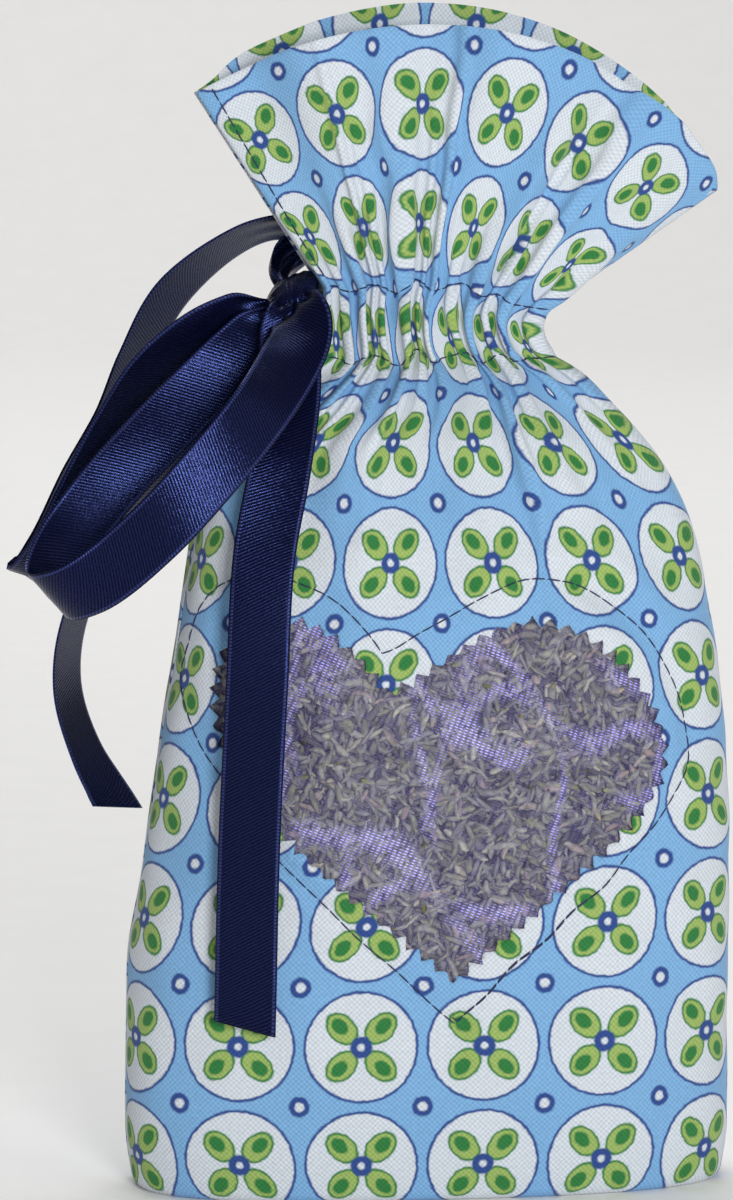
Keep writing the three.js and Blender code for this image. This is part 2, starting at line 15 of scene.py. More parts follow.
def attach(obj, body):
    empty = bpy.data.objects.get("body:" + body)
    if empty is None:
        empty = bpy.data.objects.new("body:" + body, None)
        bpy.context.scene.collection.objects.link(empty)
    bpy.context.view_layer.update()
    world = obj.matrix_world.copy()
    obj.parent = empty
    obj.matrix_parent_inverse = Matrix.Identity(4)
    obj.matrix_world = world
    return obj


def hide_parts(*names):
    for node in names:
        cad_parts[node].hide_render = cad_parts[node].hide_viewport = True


bl_info = {
    "name": "Lavender sachet",
    "version": (1, 0, 0),
    "blender": (4, 5, 0),
    "location": "3D View > Sidebar > Sachet",
    "description": "Builds the cloth, ribbon, lavender and stitching of a drawstring lavender sachet",
    "category": "Object",
}

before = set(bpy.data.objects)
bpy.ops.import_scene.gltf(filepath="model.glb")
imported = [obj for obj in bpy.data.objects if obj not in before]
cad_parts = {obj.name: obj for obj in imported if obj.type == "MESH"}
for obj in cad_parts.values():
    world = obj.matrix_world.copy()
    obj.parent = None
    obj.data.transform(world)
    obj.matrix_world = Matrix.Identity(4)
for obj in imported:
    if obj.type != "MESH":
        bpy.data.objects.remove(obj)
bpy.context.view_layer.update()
MM = 0.001

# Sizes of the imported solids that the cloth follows
BODY_HALF_WIDTH = 49.5
BODY_HALF_DEPTH = 21.0
SQUARENESS = 2.6
SEAM_GAP = 0.3
SHOULDER_SHIFT = 3.0
CASING_Z = 135.0
CASING_TOP = 146.5
NECK_HALF = 17.5
NECK_HALF_DEPTH = 2.6
CASING_OUTER = 1.2
FAN_LEFT = np.radians(-33)
FAN_RIGHT = np.radians(63)
FAN_LENGTHS = (37.0, 42.0, 33.5)
BACK_EXTRA = 3.6
MOUTH_HALF_DEPTH = 11.0
SLIT_HALF = 2.0
HEART_SIZE = (73.0, 58.5)
HEART_CENTRE = (0.2, 65.2)
SEWN_SIZE = (81.0, 72.5)
HEART_NOTCH = 0.3
SEWN_NOTCH = 0.33
KNOT = np.array([-22.4, 0.0, 144.0])

# Forms of the cloth alone: the height where the round body starts to flatten into the neck, the lift of
# the casing's front off the ribbon, the notch that the casing makes at the right, the width of each panel,
# the width that the gathers' unevenness is drawn for, and the phase of the fan's folds by seed
SHOULDER_TOP = 121.0
CASING_LIFT = 0.45
NECK_BULGE = 3.0
NOTCH_OUT = 2.0
NOTCH_DROP = 4.0
CLOTH_WIDTH = 118.0
UNEVEN_WIDTH = 60.0
FRONT_SEED = 11
BACK_SEED = 23
FOLD_PHASE = {FRONT_SEED: 3.4, BACK_SEED: 5.1}

# Height as a part of the casing's height, share of the way from neck to belly in width and in depth,
# and share of the shoulders' shift to the right
BODY_ROWS = np.array([
    [0.0, 0.965, 0.92, 0],
    [0.067, 1, 1, 0],
    [0.148, 1, 1.02, 0],
    [0.267, 0.995, 1.02, 0.07],
    [0.4, 0.95, 1, 0.5],
    [0.533, 0.9, 0.95, 0.87],
    [0.652, 0.834, 0.87, 1],
    [0.741, 0.766, 0.78, 1],
    [0.807, 0.7, 0.69, 0.87],
    [0.867, 0.59, 0.58, 0.67],
    [0.919, 0.43, 0.45, 0.4],
    [0.959, 0.25, 0.29, 0.17],
    [1.0, 0, 0, 0],
])

# Bow loops, one row for each point of the route: distance from the knot along the loop's fall, distance
# across it in the front view, place from front to back, tilt of the ribbon's width out of the front view,
# and turn of that width where the ribbon enters the knot
LOOP_FALL = np.radians(44)
FRONT_LOOP = [
    [4.7, 0, -3.6, 0, 0], [16, -0.4, -3.4, -4, 0], [30, -0.4, -4.2, -4, 0], [44, 0.2, -6.4, -4, 0],
    [55, 1.8, -10.4, 0, 0], [59.5, 4.4, -16, 2, 0], [55, 7.2, -22, 0, 0], [42, 8, -26, -4, 0],
    [28, 7.2, -26.6, -4, 0], [16, 6.2, -23.6, 0, 0], [8, 5, -17.4, 2, 22], [3, 3.6, -13.2, 2, 58],
    [0.2, 1.2, -9.8, 0, 90],
]
REAR_LOOP = [
    [4.5, -1.8, 1.2, 10, 0], [13.2, -6.1, 2.4, 24, 0], [23.3, -7.2, 4, 34, 0], [34, -4.8, 6, 42, 0],
    [47, -0.6, 8, 40, 0], [57, 3.2, 10.6, 34, 0], [61.5, 4.6, 14.2, 32, 0], [57, 2.6, 17.6, 44, 0],
    [46, -1.6, 18.8, 52, 0], [34, -5, 17.8, 52, 0], [24, -9.4, 16, 50, 0], [12, -13.2, 13.4, 48, 0],
    [-1.8, -11.6, 12.8, 58, 0], [-8, -8.4, 13.2, 56, 0], [-10, -6, 13.6, 40, 0],
    [-8.2, -4.2, 13.6, 20, 0], [-5, -4.2, 12.6, 8, 0], [-2, -3.5, 7.4, 8, 0],
]
# Tails: points from the knot, then the direction of the ribbon's width
FRONT_TAIL = [
    [-0.6, -6.75, -0.4, 1, 0, 0], [-0.9, -7.8, -7, 1, 0, 0], [-1.4, -11.4, -14.4, 1, 0, 0],
    [-3.6, -16.6, -26, 1, -0.06, 0], [-6.4, -20.2, -39, 1, -0.18, 0], [-7.8, -22.8, -58, 1, -0.27, 0],
    [-9.2, -23.4, -84, 1, -0.27, 0], [-10, -23.2, -114.6, 1, -0.27, 0],
]
REAR_TAIL = [
    [-3.5, 4.2, -3.1, 0.7, 0, -0.7], [-12, 8, -15.6, 0.6, 0.3, -0.6], [-25.6, 10.2, -35.4, 0.62, 1, -0.2],
    [-34, 10.4, -51, 0.62, 1, 0], [-35.6, 10.4, -63, 0.6, 1, 0.1], [-32.6, 9.6, -74, 0.6, 1, 0.3],
    [-27.6, 8.6, -83, 0.8, 1, 0.5],
]


def linear(code):
    """sRGB hex code to linear red, green and blue: the curve is straight near black and a power above."""
    parts = [int(code[i:i + 2], 16) / 255 for i in (1, 3, 5)]
    return tuple(c / 12.92 if c <= 0.04045 else ((c + 0.055) / 1.055) ** 2.4 for c in parts)


class SachetSizes(bpy.types.PropertyGroup):
    """Sizes that a user would change"""

    ribbon_width: FloatProperty(
        name="Ribbon width", description="Width of the satin ribbon", default=0.010, unit="LENGTH")
    ribbon_thickness: FloatProperty(
        name="Ribbon thickness", description="Thickness of the satin ribbon", default=0.00034,
        unit="LENGTH")
    cloth_thickness: FloatProperty(
        name="Cloth thickness", description="Thickness of the cotton", default=0.00034, unit="LENGTH")
    pleats: IntProperty(
        name="Pleats", description="Gathers in the casing of each panel", default=13, min=4, max=20)
    pleat_depth: FloatProperty(
        name="Pleat depth", description="Depth of a gather at the casing", default=0.0025, unit="LENGTH")
    motif_pitch: FloatProperty(
        name="Motif pitch", description="Distance between the printed flowers", default=0.0195,
        unit="LENGTH")
    thread_spacing: FloatProperty(
        name="Thread spacing", description="Distance between threads of the cotton", default=0.00043,
        unit="LENGTH")
    stitch_length: FloatProperty(
        name="Stitch length", description="Length of one machine stitch", default=0.0024, unit="LENGTH")
    buds: IntProperty(
        name="Lavender buds", description="Buds laid behind the window", default=5000, min=100, max=6400)


class SachetColours(bpy.types.PropertyGroup):
    """Colours that a user would change"""

    ground: FloatVectorProperty(
        name="Ground", description="Light blue ground of the print", subtype="COLOR",
        default=linear("#7DAEDA"), min=0, max=1)
    white: FloatVectorProperty(
        name="White", description="White discs of the print", subtype="COLOR",
        default=linear("#D2D9E1"), min=0, max=1)
    navy_print: FloatVectorProperty(
        name="Print navy", description="Navy lines of the print", subtype="COLOR",
        default=linear("#2E4A8C"), min=0, max=1)
    lime: FloatVectorProperty(
        name="Lime", description="Petals of the print", subtype="COLOR",
        default=linear("#9AB464"), min=0, max=1)
    leaf: FloatVectorProperty(
        name="Leaf green", description="Dark eyes of the petals", subtype="COLOR",
        default=linear("#2F7A3E"), min=0, max=1)
    ribbon: FloatVectorProperty(
        name="Ribbon navy", description="Satin ribbon", subtype="COLOR",
        default=linear("#040518"), min=0, max=1)
    organza: FloatVectorProperty(
        name="Organza lilac", description="Sheer window cloth", subtype="COLOR",
        default=linear("#9A92DC"), min=0, max=1)
    thread: FloatVectorProperty(
        name="Thread navy", description="Sewing thread that shows", subtype="COLOR",
        default=linear("#1D2546"), min=0, max=1)


def sizes():
    """The sizes that a user may change, in metres."""
    return bpy.context.scene.sachet_sizes


def size_mm(name):
    """A size that a user may change, in the millimetres of the functions below."""
    return getattr(sizes(), name) / MM


def colour(name):
    """A colour that a user may change, opaque."""
    return (*getattr(bpy.context.scene.sachet_colours, name), 1.0)


# Meshes from whole arrays

def put_mesh(name, points, faces, uv=None, attributes=None):
    """A smooth mesh object from points in mm, arrays of face corners, a uv in mm and values per point."""
    points = np.asarray(points, float).reshape(-1, 3)
    groups = [np.asarray(f, np.int32) for f in faces if len(f)]
    loops = np.concatenate([g.ravel() for g in groups])
    counts = np.concatenate([np.full(len(g), g.shape[1]) for g in groups])
    starts = np.concatenate([[0], np.cumsum(counts)[:-1]])
    mesh = bpy.data.meshes.new(name)
    mesh.vertices.add(len(points))
    mesh.vertices.foreach_set("co", (points * MM).astype(np.float32).ravel())
    mesh.loops.add(len(loops))
    mesh.loops.foreach_set("vertex_index", loops)
    mesh.polygons.add(len(counts))
    mesh.polygons.foreach_set("loop_start", starts.astype(np.int32))
    mesh.polygons.foreach_set("use_smooth", np.ones(len(counts), bool))
    if uv is not None:
        layer = mesh.uv_layers.new(name="Cloth")
        layer.data.foreach_set("uv", np.asarray(uv, np.float32).reshape(-1, 2)[loops].ravel())
    for key, values in (attributes or {}).items():
        mesh.attributes.new(key, "FLOAT", "POINT").data.foreach_set(
            "value", np.asarray(values, np.float32).ravel())
    mesh.update(calc_edges=True)
    mesh.validate()
    obj = bpy.data.objects.new(name, mesh)
    bpy.context.scene.collection.objects.link(obj)
    return obj


def grid_faces(rows, columns, ring=False):
    """Corners of the quads of a grid, row by row; a ring joins the last column to the first."""
    r = np.arange(rows - 1)[:, None] * columns
    c = np.arange(columns if ring else columns - 1)[None, :]
    d = (c + 1) % columns
    return np.stack([r + c, r + d, r + columns + d, r + columns + c], -1).reshape(-1, 4)


def tube_faces(rings, sides, count, first=0):
    """Corners of the walls and of the ends of closed tubes, whose points are numbered on from first."""
    start = first + np.arange(count)[:, None, None] * rings * sides
    wall = grid_faces(rings, sides, ring=True)
    around = np.arange(sides)
    ends = np.stack([around[::-1], around + (rings - 1) * sides])
    return [(wall + start).reshape(-1, 4), (ends + start).reshape(-1, sides)]


def unit(v):
    """Vectors divided by their lengths."""
    return v / np.maximum(np.linalg.norm(v, axis=-1, keepdims=True), 1e-9)


def smoothstep(t):
    """Rise from 0 to 1 with level ends: three times the square less twice the cube."""
    t = np.clip(t, 0, 1)
    return t * t * (3 - 2 * t)


def smooth_through(x, knots, values):
    """Monotone cubic through the knots, whose slopes are the harmonic means of the slopes beside them."""
    d = np.diff(values) / np.diff(knots)
    same = d[1:] * d[:-1] > 0
    slope = np.concatenate([
        d[:1], np.where(same, 2 * d[1:] * d[:-1] / np.where(same, d[1:] + d[:-1], 1), 0), d[-1:]])
    i = np.clip(np.searchsorted(knots, x) - 1, 0, len(knots) - 2)
    h = knots[i + 1] - knots[i]
    t = np.clip((x - knots[i]) / h, 0, 1)
    return ((2 * t**3 - 3 * t**2 + 1) * values[i] + (t**3 - 2 * t**2 + t) * h * slope[i]
            + (3 * t**2 - 2 * t**3) * values[i + 1] + (t**3 - t**2) * h * slope[i + 1])


def ripples(a, b, seed, shortest, longest, count=14):
    """Soft unevenness between about -1 and 1: a sum of plane waves in seeded directions."""
    rng = np.random.default_rng(seed)
    wave = rng.uniform(shortest, longest, count)
    turn = rng.uniform(0, 2 * np.pi, count)
    start = rng.uniform(0, 2 * np.pi, count)
    k = 2 * np.pi / wave
    phase = a[..., None] * (k * np.cos(turn)) + b[..., None] * (k * np.sin(turn)) + start
    return np.sin(phase).sum(-1) / np.sqrt(count)


def run_along(line):
    """Running length at each point of a line."""
    return np.concatenate([[0], np.cumsum(np.linalg.norm(np.diff(line, axis=0), axis=1))])


def at_run(line, run, want):
    """All columns of a line at the wanted running lengths."""
    return np.stack([np.interp(want, run, line[:, k]) for k in range(line.shape[1])], -1)


def spread(values, reach):
    """Mean of each column and of its neighbours up to the reach on both sides."""
    return sum(np.roll(values, k, -1) for k in range(-reach, reach + 1)) / (2 * reach + 1)


def route_through(points, count):
    """Centripetal spline through points, sampled at even lengths; columns past the third go with it.
    Each span is a cubic whose end slopes weigh the neighbouring chords by the roots of their lengths."""
    p = np.asarray(points, float)
    p = np.vstack([2 * p[0] - p[1], p, 2 * p[-1] - p[-2]])
    fine = np.linspace(0, len(p) - 3 - 1e-9, 1600)
    i = fine.astype(int)
    t = (fine - i)[:, None]
    a, b, c, d = p[i], p[i + 1], p[i + 2], p[i + 3]
    chords = (b - a, c - b, d - c)
    gap = [np.sqrt(np.linalg.norm(chord[:, :3], axis=1, keepdims=True)) for chord in chords]
    into = gap[1] * ((b - a) / gap[0] - (c - a) / (gap[0] + gap[1]) + (c - b) / gap[1])
    out = gap[1] * ((c - b) / gap[1] - (d - b) / (gap[1] + gap[2]) + (d - c) / gap[2])
    line = (b + into * t + (3 * (c - b) - 2 * into - out) * t**2 + (2 * (b - c) + into + out) * t**3)
    run = run_along(line[:, :3])
    return at_run(line, run, np.linspace(0, run[-1], count)), run[-1]


def at_lengths(line, share):
    """Points of each row's line at shares of its length, with the outward direction in plan there.
    line is rows x points x 3, and share is rows x columns."""
    step = np.linalg.norm(np.diff(line, axis=1), axis=2)
    run = np.concatenate([np.zeros((len(line), 1)), np.cumsum(step, 1)], 1)
    want = np.clip(share, 0, 1) * run[:, -1:]
    i = np.clip((run[:, None, :] < want[:, :, None]).sum(2) - 1, 0, line.shape[1] - 2)
    row = np.arange(len(line))[:, None]
    k = (want - run[row, i]) / np.maximum(run[row, i + 1] - run[row, i], 1e-9)
    a = line[row, i]
    b = line[row, i + 1]
    along = unit((b - a) * [1, 1, 0])
    return a + (b - a) * k[..., None], np.stack([along[..., 1], -along[..., 0], 0 * k], -1)


# Cotton panels

LINE_POINTS = 240
COLUMNS = 181


def half_width(share):
    """Half of the width at a share of the way from the neck to the belly."""
    return NECK_HALF + (BODY_HALF_WIDTH - NECK_HALF) * share


def half_depth(share):
    """Half of the depth at a share of the way from the casing's outside to the belly."""
    neck = NECK_HALF_DEPTH + CASING_OUTER
    return neck + (BODY_HALF_DEPTH - neck) * share


def body_at(z):
    """Shares of the width and the depth, and of the shoulders' shift, at heights z."""
    return [smooth_through(z, BODY_ROWS[:, 0] * CASING_Z, BODY_ROWS[:, k]) for k in (1, 2, 3)]


def body_lines(z, inset):
    """Front half of the body at heights z: a rounded oblong whose width, depth and middle follow the rows
    of the table."""
    w, d, s = body_at(z)
    turn = np.pi * (1 - np.linspace(0, 1, LINE_POINTS))
    c = np.cos(turn)
    x = np.sign(c) * np.abs(c) ** (2 / SQUARENESS)
    y = np.abs(np.sin(turn)) ** (2 / SQUARENESS)
    x = SHOULDER_SHIFT * s[:, None] + (half_width(w) - inset)[:, None] * x
    y = -(half_depth(d) - inset)[:, None] * y - SEAM_GAP / 2
    return np.stack([x, y, np.broadcast_to(z[:, None], x.shape)], -1)


def neck_line():
    """Front half of the neck in plan: straight along the casing, then a quarter turn at the right."""
    straight = 2 * NECK_HALF - NECK_HALF_DEPTH
    run = np.linspace(0, straight + np.pi / 2 * NECK_HALF_DEPTH, LINE_POINTS)
    turn = np.maximum(run - straight, 0) / NECK_HALF_DEPTH
    x = -NECK_HALF + np.minimum(run, straight) + NECK_HALF_DEPTH * np.sin(turn)
    y = -NECK_HALF_DEPTH * np.cos(turn) - SEAM_GAP / 2
    return np.stack([x, y, 0 * x], -1)


def fan_lines(share, extra):
    """Front half of the fan at shares of its length: rays lean from left to right and the mouth opens.
    At the right the fan leaves the neck lower, so the casing is a notch there."""
    f = np.linspace(0, 1, LINE_POINTS)[None, :]
    s = share[:, None]
    left, middle, right = FAN_LENGTHS
    lean = FAN_LEFT + (FAN_RIGHT - FAN_LEFT) * f
    edge = left + (right - left) * f
    bow = np.sin(np.pi * f)
    reach = s * (edge + (middle + extra - (left + right) / 2) * bow)
    opened = (SLIT_HALF + (MOUTH_HALF_DEPTH - SLIT_HALF) * bow**0.8) * np.sqrt(1 - f**8)
    start = neck_line()[None]
    ease = s * (2 - s)
    notch = smoothstep((f - 0.55) / 0.45) * (1 - s)
    x = start[..., 0] + reach * np.sin(lean) + NOTCH_OUT * notch
    y = start[..., 1] + (-opened - SEAM_GAP / 2 - start[..., 1]) * ease
    return np.stack([x, y, CASING_TOP + reach * np.cos(lean) - NOTCH_DROP * notch], -1)


def pleat_marks(seed):
    """Uneven gathers along the cloth: phase, depth, sharpness, and how far each runs up and down.
    The last ones at the right are broad and shallow, and every fourth one runs up to the rim."""
    count = sizes().pleats
    rng = np.random.default_rng(seed)
    width = rng.uniform(0.45, 1.7, count)
    width[-1] = 2.2
    width[-2] = 1.5
    edge = np.concatenate([[0], np.cumsum(width)]) / width.sum()
    u = np.linspace(0, 1, COLUMNS)
    turns = np.interp(u, edge, np.arange(count + 1))
    k = np.clip(turns.astype(int), 0, count - 1)
    depth = rng.uniform(0.35, 1.15, count) * np.clip(width, 0.75, 1.2)
    depth[-1] *= 0.75
    sharp = rng.uniform(0.4, 1.0, count)
    up = rng.uniform(7, 28, count)
    up[count // 4::4] = 44
    down = rng.uniform(6, 26, count)
    # Neighbouring gathers run into each other over a few columns
    return 2 * np.pi * turns, *(spread(mark[k], 4) for mark in (depth, sharp, up, down))


def fan_folds(rim_share, seed):
    """Height of the fan's folds: broad waves that grow towards the rim, and one deep fold right of the
    middle."""
    u = np.linspace(0, 1, COLUMNS)[None]
    s = rim_share[:, None]
    start = FOLD_PHASE[seed]
    end = np.minimum(1, (1 - u) / 0.08) * np.minimum(1, u / 0.05)
    waves = np.sin(2 * np.pi * 3.1 * u + start) + 0.5 * np.sin(2 * np.pi * 6.3 * u + 2 * start)
    bent = u - 0.03 * (s - 0.4)
    deep = 1.5 * np.exp(-((bent - 0.66) / 0.032) ** 2) - 2.0 * np.exp(-((bent - 0.708) / 0.018) ** 2)
    return 1.5 * s**1.2 * waves * end + smoothstep(s / 0.15) * smoothstep((1.05 - s) / 0.5) * deep


def crease(a, b, start, end, width):
    """A ridge of height 1 from start to end in the plane of a and b, fading over its width and ends."""
    start, end = np.array(start, float), np.array(end, float)
    length = np.linalg.norm(end - start)
    along = (end - start) / length
    t = ((a - start[0]) * along[0] + (b - start[1]) * along[1]) / length
    off = (a - start[0]) * along[1] - (b - start[1]) * along[0]
    return np.exp(-(off / width) ** 2) * smoothstep(t / 0.25) * smoothstep((1 - t) / 0.35)


# Pressed creases that run down from the gathers: start and end in the front view, height and width
CREASES = [
    ((22, 108), (38, 94), 0.9, 2.2), ((18, 103), (36, 89), -0.8, 2.4), ((-36, 100), (-29, 76), -0.9, 1.6),
    ((-33, 101), (-26, 78), 0.7, 2.0), ((4, 122), (9, 103), -0.8, 1.5), ((20, 122), (30, 106), -0.7, 1.5),
    ((-10, 120), (-13, 102), 0.6, 1.6),
]


def wall_lines(z, inset, c, share, extra):
    """Lines in plan of the outer wall, row by row: the body at heights z, the casing at shares c of its
    height and the fan at shares of its length. Below the casing the rounded oblong turns into the flat
    neck at the width of the rows, and at the right the casing is a notch."""
    along = np.linspace(0, 1, LINE_POINTS)[None, :]
    right = smoothstep((along - 0.5) / 0.5)
    lower = smoothstep((along - 0.55) / 0.45)
    neck = neck_line()[None]
    w, d, shift = body_at(z)
    stretch = np.stack([half_width(w) / NECK_HALF, half_depth(d) / half_depth(0), 0 * z], -1)[:, None]
    level = np.stack([SHOULDER_SHIFT * shift, 0 * z - CASING_LIFT, z], -1)[:, None]
    toward = smoothstep((z - SHOULDER_TOP) / (CASING_Z - SHOULDER_TOP))[:, None, None]
    body = body_lines(z, inset) * (1 - toward) + (neck * stretch + level) * toward
    body[..., 0] += NECK_BULGE * np.exp(-((CASING_Z - z) / 5) ** 2)[:, None] * right
    casing_z = CASING_Z + (CASING_TOP - CASING_Z) * c
    casing = neck + np.stack([0 * casing_z, 0 * casing_z - CASING_LIFT, casing_z], -1)[:, None]
    waist = 0.65
    bulge = np.where(c < waist, NECK_BULGE * (1 - c / waist) ** 2,
                     NOTCH_OUT * ((c - waist) / (1 - waist)) ** 2)
    casing[..., 0] += bulge[:, None] * right
    casing[..., 2] -= NOTCH_DROP * c[:, None] * lower
    fan = fan_lines(share, extra)
    fan[..., 1] -= CASING_LIFT * (1 - share)[:, None]
    return np.concatenate([body, casing, fan])


def gathers(seed, level, reach, below):
    """The gathers at rows of a level, a reach up the fan and a depth below the casing. They fade away
    from the casing at their own rates, and the stitched rows pinch them, so they puff between.
    Returns how far they stand out, how they crowd the columns, and each place across the flat cloth."""
    u = np.linspace(0, 1, COLUMNS)
    stitched = (CASING_Z, CASING_TOP)
    phase, depth, sharp, up, down = pleat_marks(seed)
    lower_phase = pleat_marks(seed + 40)[0]
    fade = np.exp(-(reach[:, None] / up) ** 1.5) * np.exp(-(below[:, None] / down) ** 1.5)
    pinch = sum(np.exp(-((level - row) / 1.5) ** 2) for row in stitched)
    spot = u * UNEVEN_WIDTH
    wobble = 0.5 * ripples(*np.broadcast_arrays(spot, level[:, None]), seed + 2, 9, 22, 8)
    slant = 0.55 * smoothstep((CASING_TOP + 2 - level) / 18)[:, None]
    # At each stitched row the gathers jog sideways, so those above and below it do not meet
    jog = sum(ripples(spot, 0 * u, seed + 6 + k, 8, 22, 8) * np.tanh((level - row) / 1.2)[:, None]
              for k, row in enumerate(stitched))
    bent = phase + (lower_phase - phase) * slant + (wobble + 1.1 * jog) * np.sin(np.pi * u)
    ridge = (0.5 - 0.5 * np.cos(bent)) ** sharp
    puff = 1.12 - 0.42 * pinch
    rise = size_mm("pleat_depth") * depth * fade * puff[:, None] * ridge
    pace = np.clip(spread(np.gradient(bent, u, axis=1), 3), 30, 200)
    crowd = 0.5 * fade * np.sin(2 * bent) / pace
    # Between the ridges most of the cloth is hidden, so the ridges show the print at its true width
    across = CLOTH_WIDTH * (u[None] + 0.68 * fade * np.sin(bent) / pace)
    return rise, crowd, across


def rim_and_facing(top, outward, climb, extra, seed):
    """Rows past the rim: the fold over it, and the facing that runs down inside to the casing's foot."""
    u = np.linspace(0, 1, COLUMNS)
    fold = 0.35
    bend = np.radians([45, 90, 135])[:, None, None]
    rim = top - outward * fold + fold * (outward * np.cos(bend) + climb * np.sin(bend))
    share = np.linspace(1, 0, 18)[1:-1]
    gap = 0.7 + 1.4 * (1 - share) ** 3
    plain, plain_n = at_lengths(fan_lines(share, extra), np.broadcast_to(u, (len(share), COLUMNS)))
    facing = plain + plain_n * (fan_folds(share, seed) - gap[:, None])[..., None]
    z = np.linspace(CASING_TOP, CASING_Z, 4)
    neck = neck_line()[None] + np.stack([0 * z, 0 * z, z], -1)[:, None]
    flat, flat_n = at_lengths(neck, np.broadcast_to(u, (len(z), COLUMNS)))
    return np.concatenate([rim, facing, flat - flat_n * 1.3])


def panel(seed, extra):
    """One cotton panel as a grid of cloth threads, from the seam in the middle of the base, up the body,
    through the casing and the fan, over the folded rim and down again inside as a facing.
    Each row is a line in plan, pushed outwards by the gathers, which also crowd its columns together.
    Returns the points, their place in the flat cloth and the numbers of some rows."""
    u = np.linspace(0, 1, COLUMNS)
    roll = np.linspace(0, np.pi / 2, 6)
    z = np.concatenate([1.8 * (1 - np.cos(roll)), np.arange(2.8, CASING_Z - 0.4, 1.1), [CASING_Z]])
    inset = np.concatenate([1.5 * (1 - np.sin(roll)), np.zeros(len(z) - len(roll))])
    c = np.linspace(0, 1, 14)[1:]
    share = np.linspace(0, 1, 41)[1:]
    reach = np.concatenate([np.zeros(len(z) + len(c)), share * FAN_LENGTHS[1]])
    below = np.concatenate([CASING_Z - z, np.zeros(len(c) + len(share))])
    level = np.concatenate([z, CASING_Z + (CASING_TOP - CASING_Z) * c, CASING_TOP + reach[-len(share):]])
    rise, crowd, across = gathers(seed, level, reach, below)
    p, n = at_lengths(wall_lines(z, inset, c, share, extra), u[None] + crowd)
    # Folds of the fan, and soft folds on the shoulders
    start = FOLD_PHASE[seed]
    rise = rise + fan_folds(reach / FAN_LENGTHS[1], seed)
    shoulder = np.exp(-((below - 18) / 13) ** 2) * (below > 0)
    soft = np.sin(2 * np.pi * 5 * u + 1.3 * start) + 0.6 * np.sin(2 * np.pi * 8.7 * u + start)
    rise = rise + 0.8 * shoulder[:, None] * soft * np.sin(np.pi * u)
    p = p + n * rise[..., None]
    # The gathered rows sag a little between the gathers
    sag = ripples(u * 70, 0 * u, seed + 4, 6, 16, 8) * np.sin(np.pi * u) ** 0.5
    p[..., 2] += 0.9 * np.exp(-((level - 140) / 12) ** 2)[:, None] * sag
    # Lumps of the filling, and the creases
    v = run_along(p[:, COLUMNS // 2])
    above = np.zeros(len(v) - len(z))
    filled = smoothstep((z - 4) / 14) * smoothstep((CASING_Z - 12 - z) / 20)
    filled = np.concatenate([filled, above])
    lump = ripples(*np.broadcast_arrays(u * CLOTH_WIDTH, v[:, None]), seed + 9, 11, 34)
    p = p + n * (0.5 * filled[:, None] * np.sin(np.pi * u) ** 0.5 * lump)[..., None]
    x, height = p[..., 0], p[..., 2]
    pressed = sum(tall * crease(x, height, first, last, wide) for first, last, tall, wide in CREASES)
    p = p + n * (pressed * (height < CASING_Z))[..., None]
    # The side seams draw both panels together, at the left only up to the ribbon's slit
    sewn = np.concatenate([1 - smoothstep((z - 130) / 5), above])[:, None]
    seam = -SEAM_GAP / 2
    p[..., 1] += (seam - p[:, -1:, 1]) * smoothstep((u - 0.93) / 0.07)
    p[..., 1] += (seam - p[:, :1, 1]) * smoothstep((0.07 - u) / 0.07) * sewn
    # The base: the foot's line drawn in to the seam in the middle
    g = np.linspace(0, 1, 9)[:-1, None, None]
    foot = p[:1]
    base = foot * [1, 0, 0] * (0.97 + 0.03 * g) + [0, seam, 0] + (foot * [0, 1, 0]) * g
    hidden = rim_and_facing(p[-1], n[-1], unit(p[-1] - p[-3]), extra, seed)
    across = np.concatenate([np.broadcast_to(across[:1], (len(base), COLUMNS)), across,
                             np.broadcast_to(CLOTH_WIDTH * u, hidden.shape[:2])])
    p = np.concatenate([base, p, hidden])
    p[..., 1] = np.minimum(p[..., 1], seam)
    step = np.linalg.norm(np.diff(p[:, COLUMNS // 3:-COLUMNS // 3], axis=0), axis=2).mean(1)
    v = np.concatenate([[0], np.cumsum(step)])
    flat = np.stack(np.broadcast_arrays(across, v[:, None]), -1)
    casing = len(base) + len(z) - 1
    rows = {"body": (len(base), casing + 1), "casing": casing, "casing_top": casing + len(c),
            "rim": casing + len(c) + len(share)}
    return p, flat, rows


def normals_of(p):
    """Outward directions of a grid: the row direction crossed with the column direction."""
    return unit(np.cross(np.gradient(p, axis=1), np.gradient(p, axis=0)))


def on_grid(values, row, column):
    """Values of a grid at fractional rows and columns, mixed from the four points around."""
    i = np.clip(row.astype(int), 0, values.shape[0] - 2)
    j = np.clip(column.astype(int), 0, values.shape[1] - 2)
    a = (row - i)[:, None]
    b = (column - j)[:, None]
    return ((values[i, j] * (1 - b) + values[i, j + 1] * b) * (1 - a)
            + (values[i + 1, j] * (1 - b) + values[i + 1, j + 1] * b) * a)


def find_on_front(p, rows, x, z):
    """Fractional rows and columns of the front panel that show at x and z in the front view."""
    first, last = rows["body"]
    row = np.interp(z, p[first:last, COLUMNS // 2, 2], np.arange(first, last))
    i = np.minimum(row.astype(int), last - 2)
    a = (row - i)[:, None]
    across = p[i, :, 0] * (1 - a) + p[i + 1, :, 0] * a
    j = np.clip((across < x[:, None]).sum(1) - 1, 0, COLUMNS - 2)
    k = np.arange(len(x))
    column = j + np.clip((x - across[k, j]) / (across[k, j + 1] - across[k, j]), 0, 1)
    return row, column


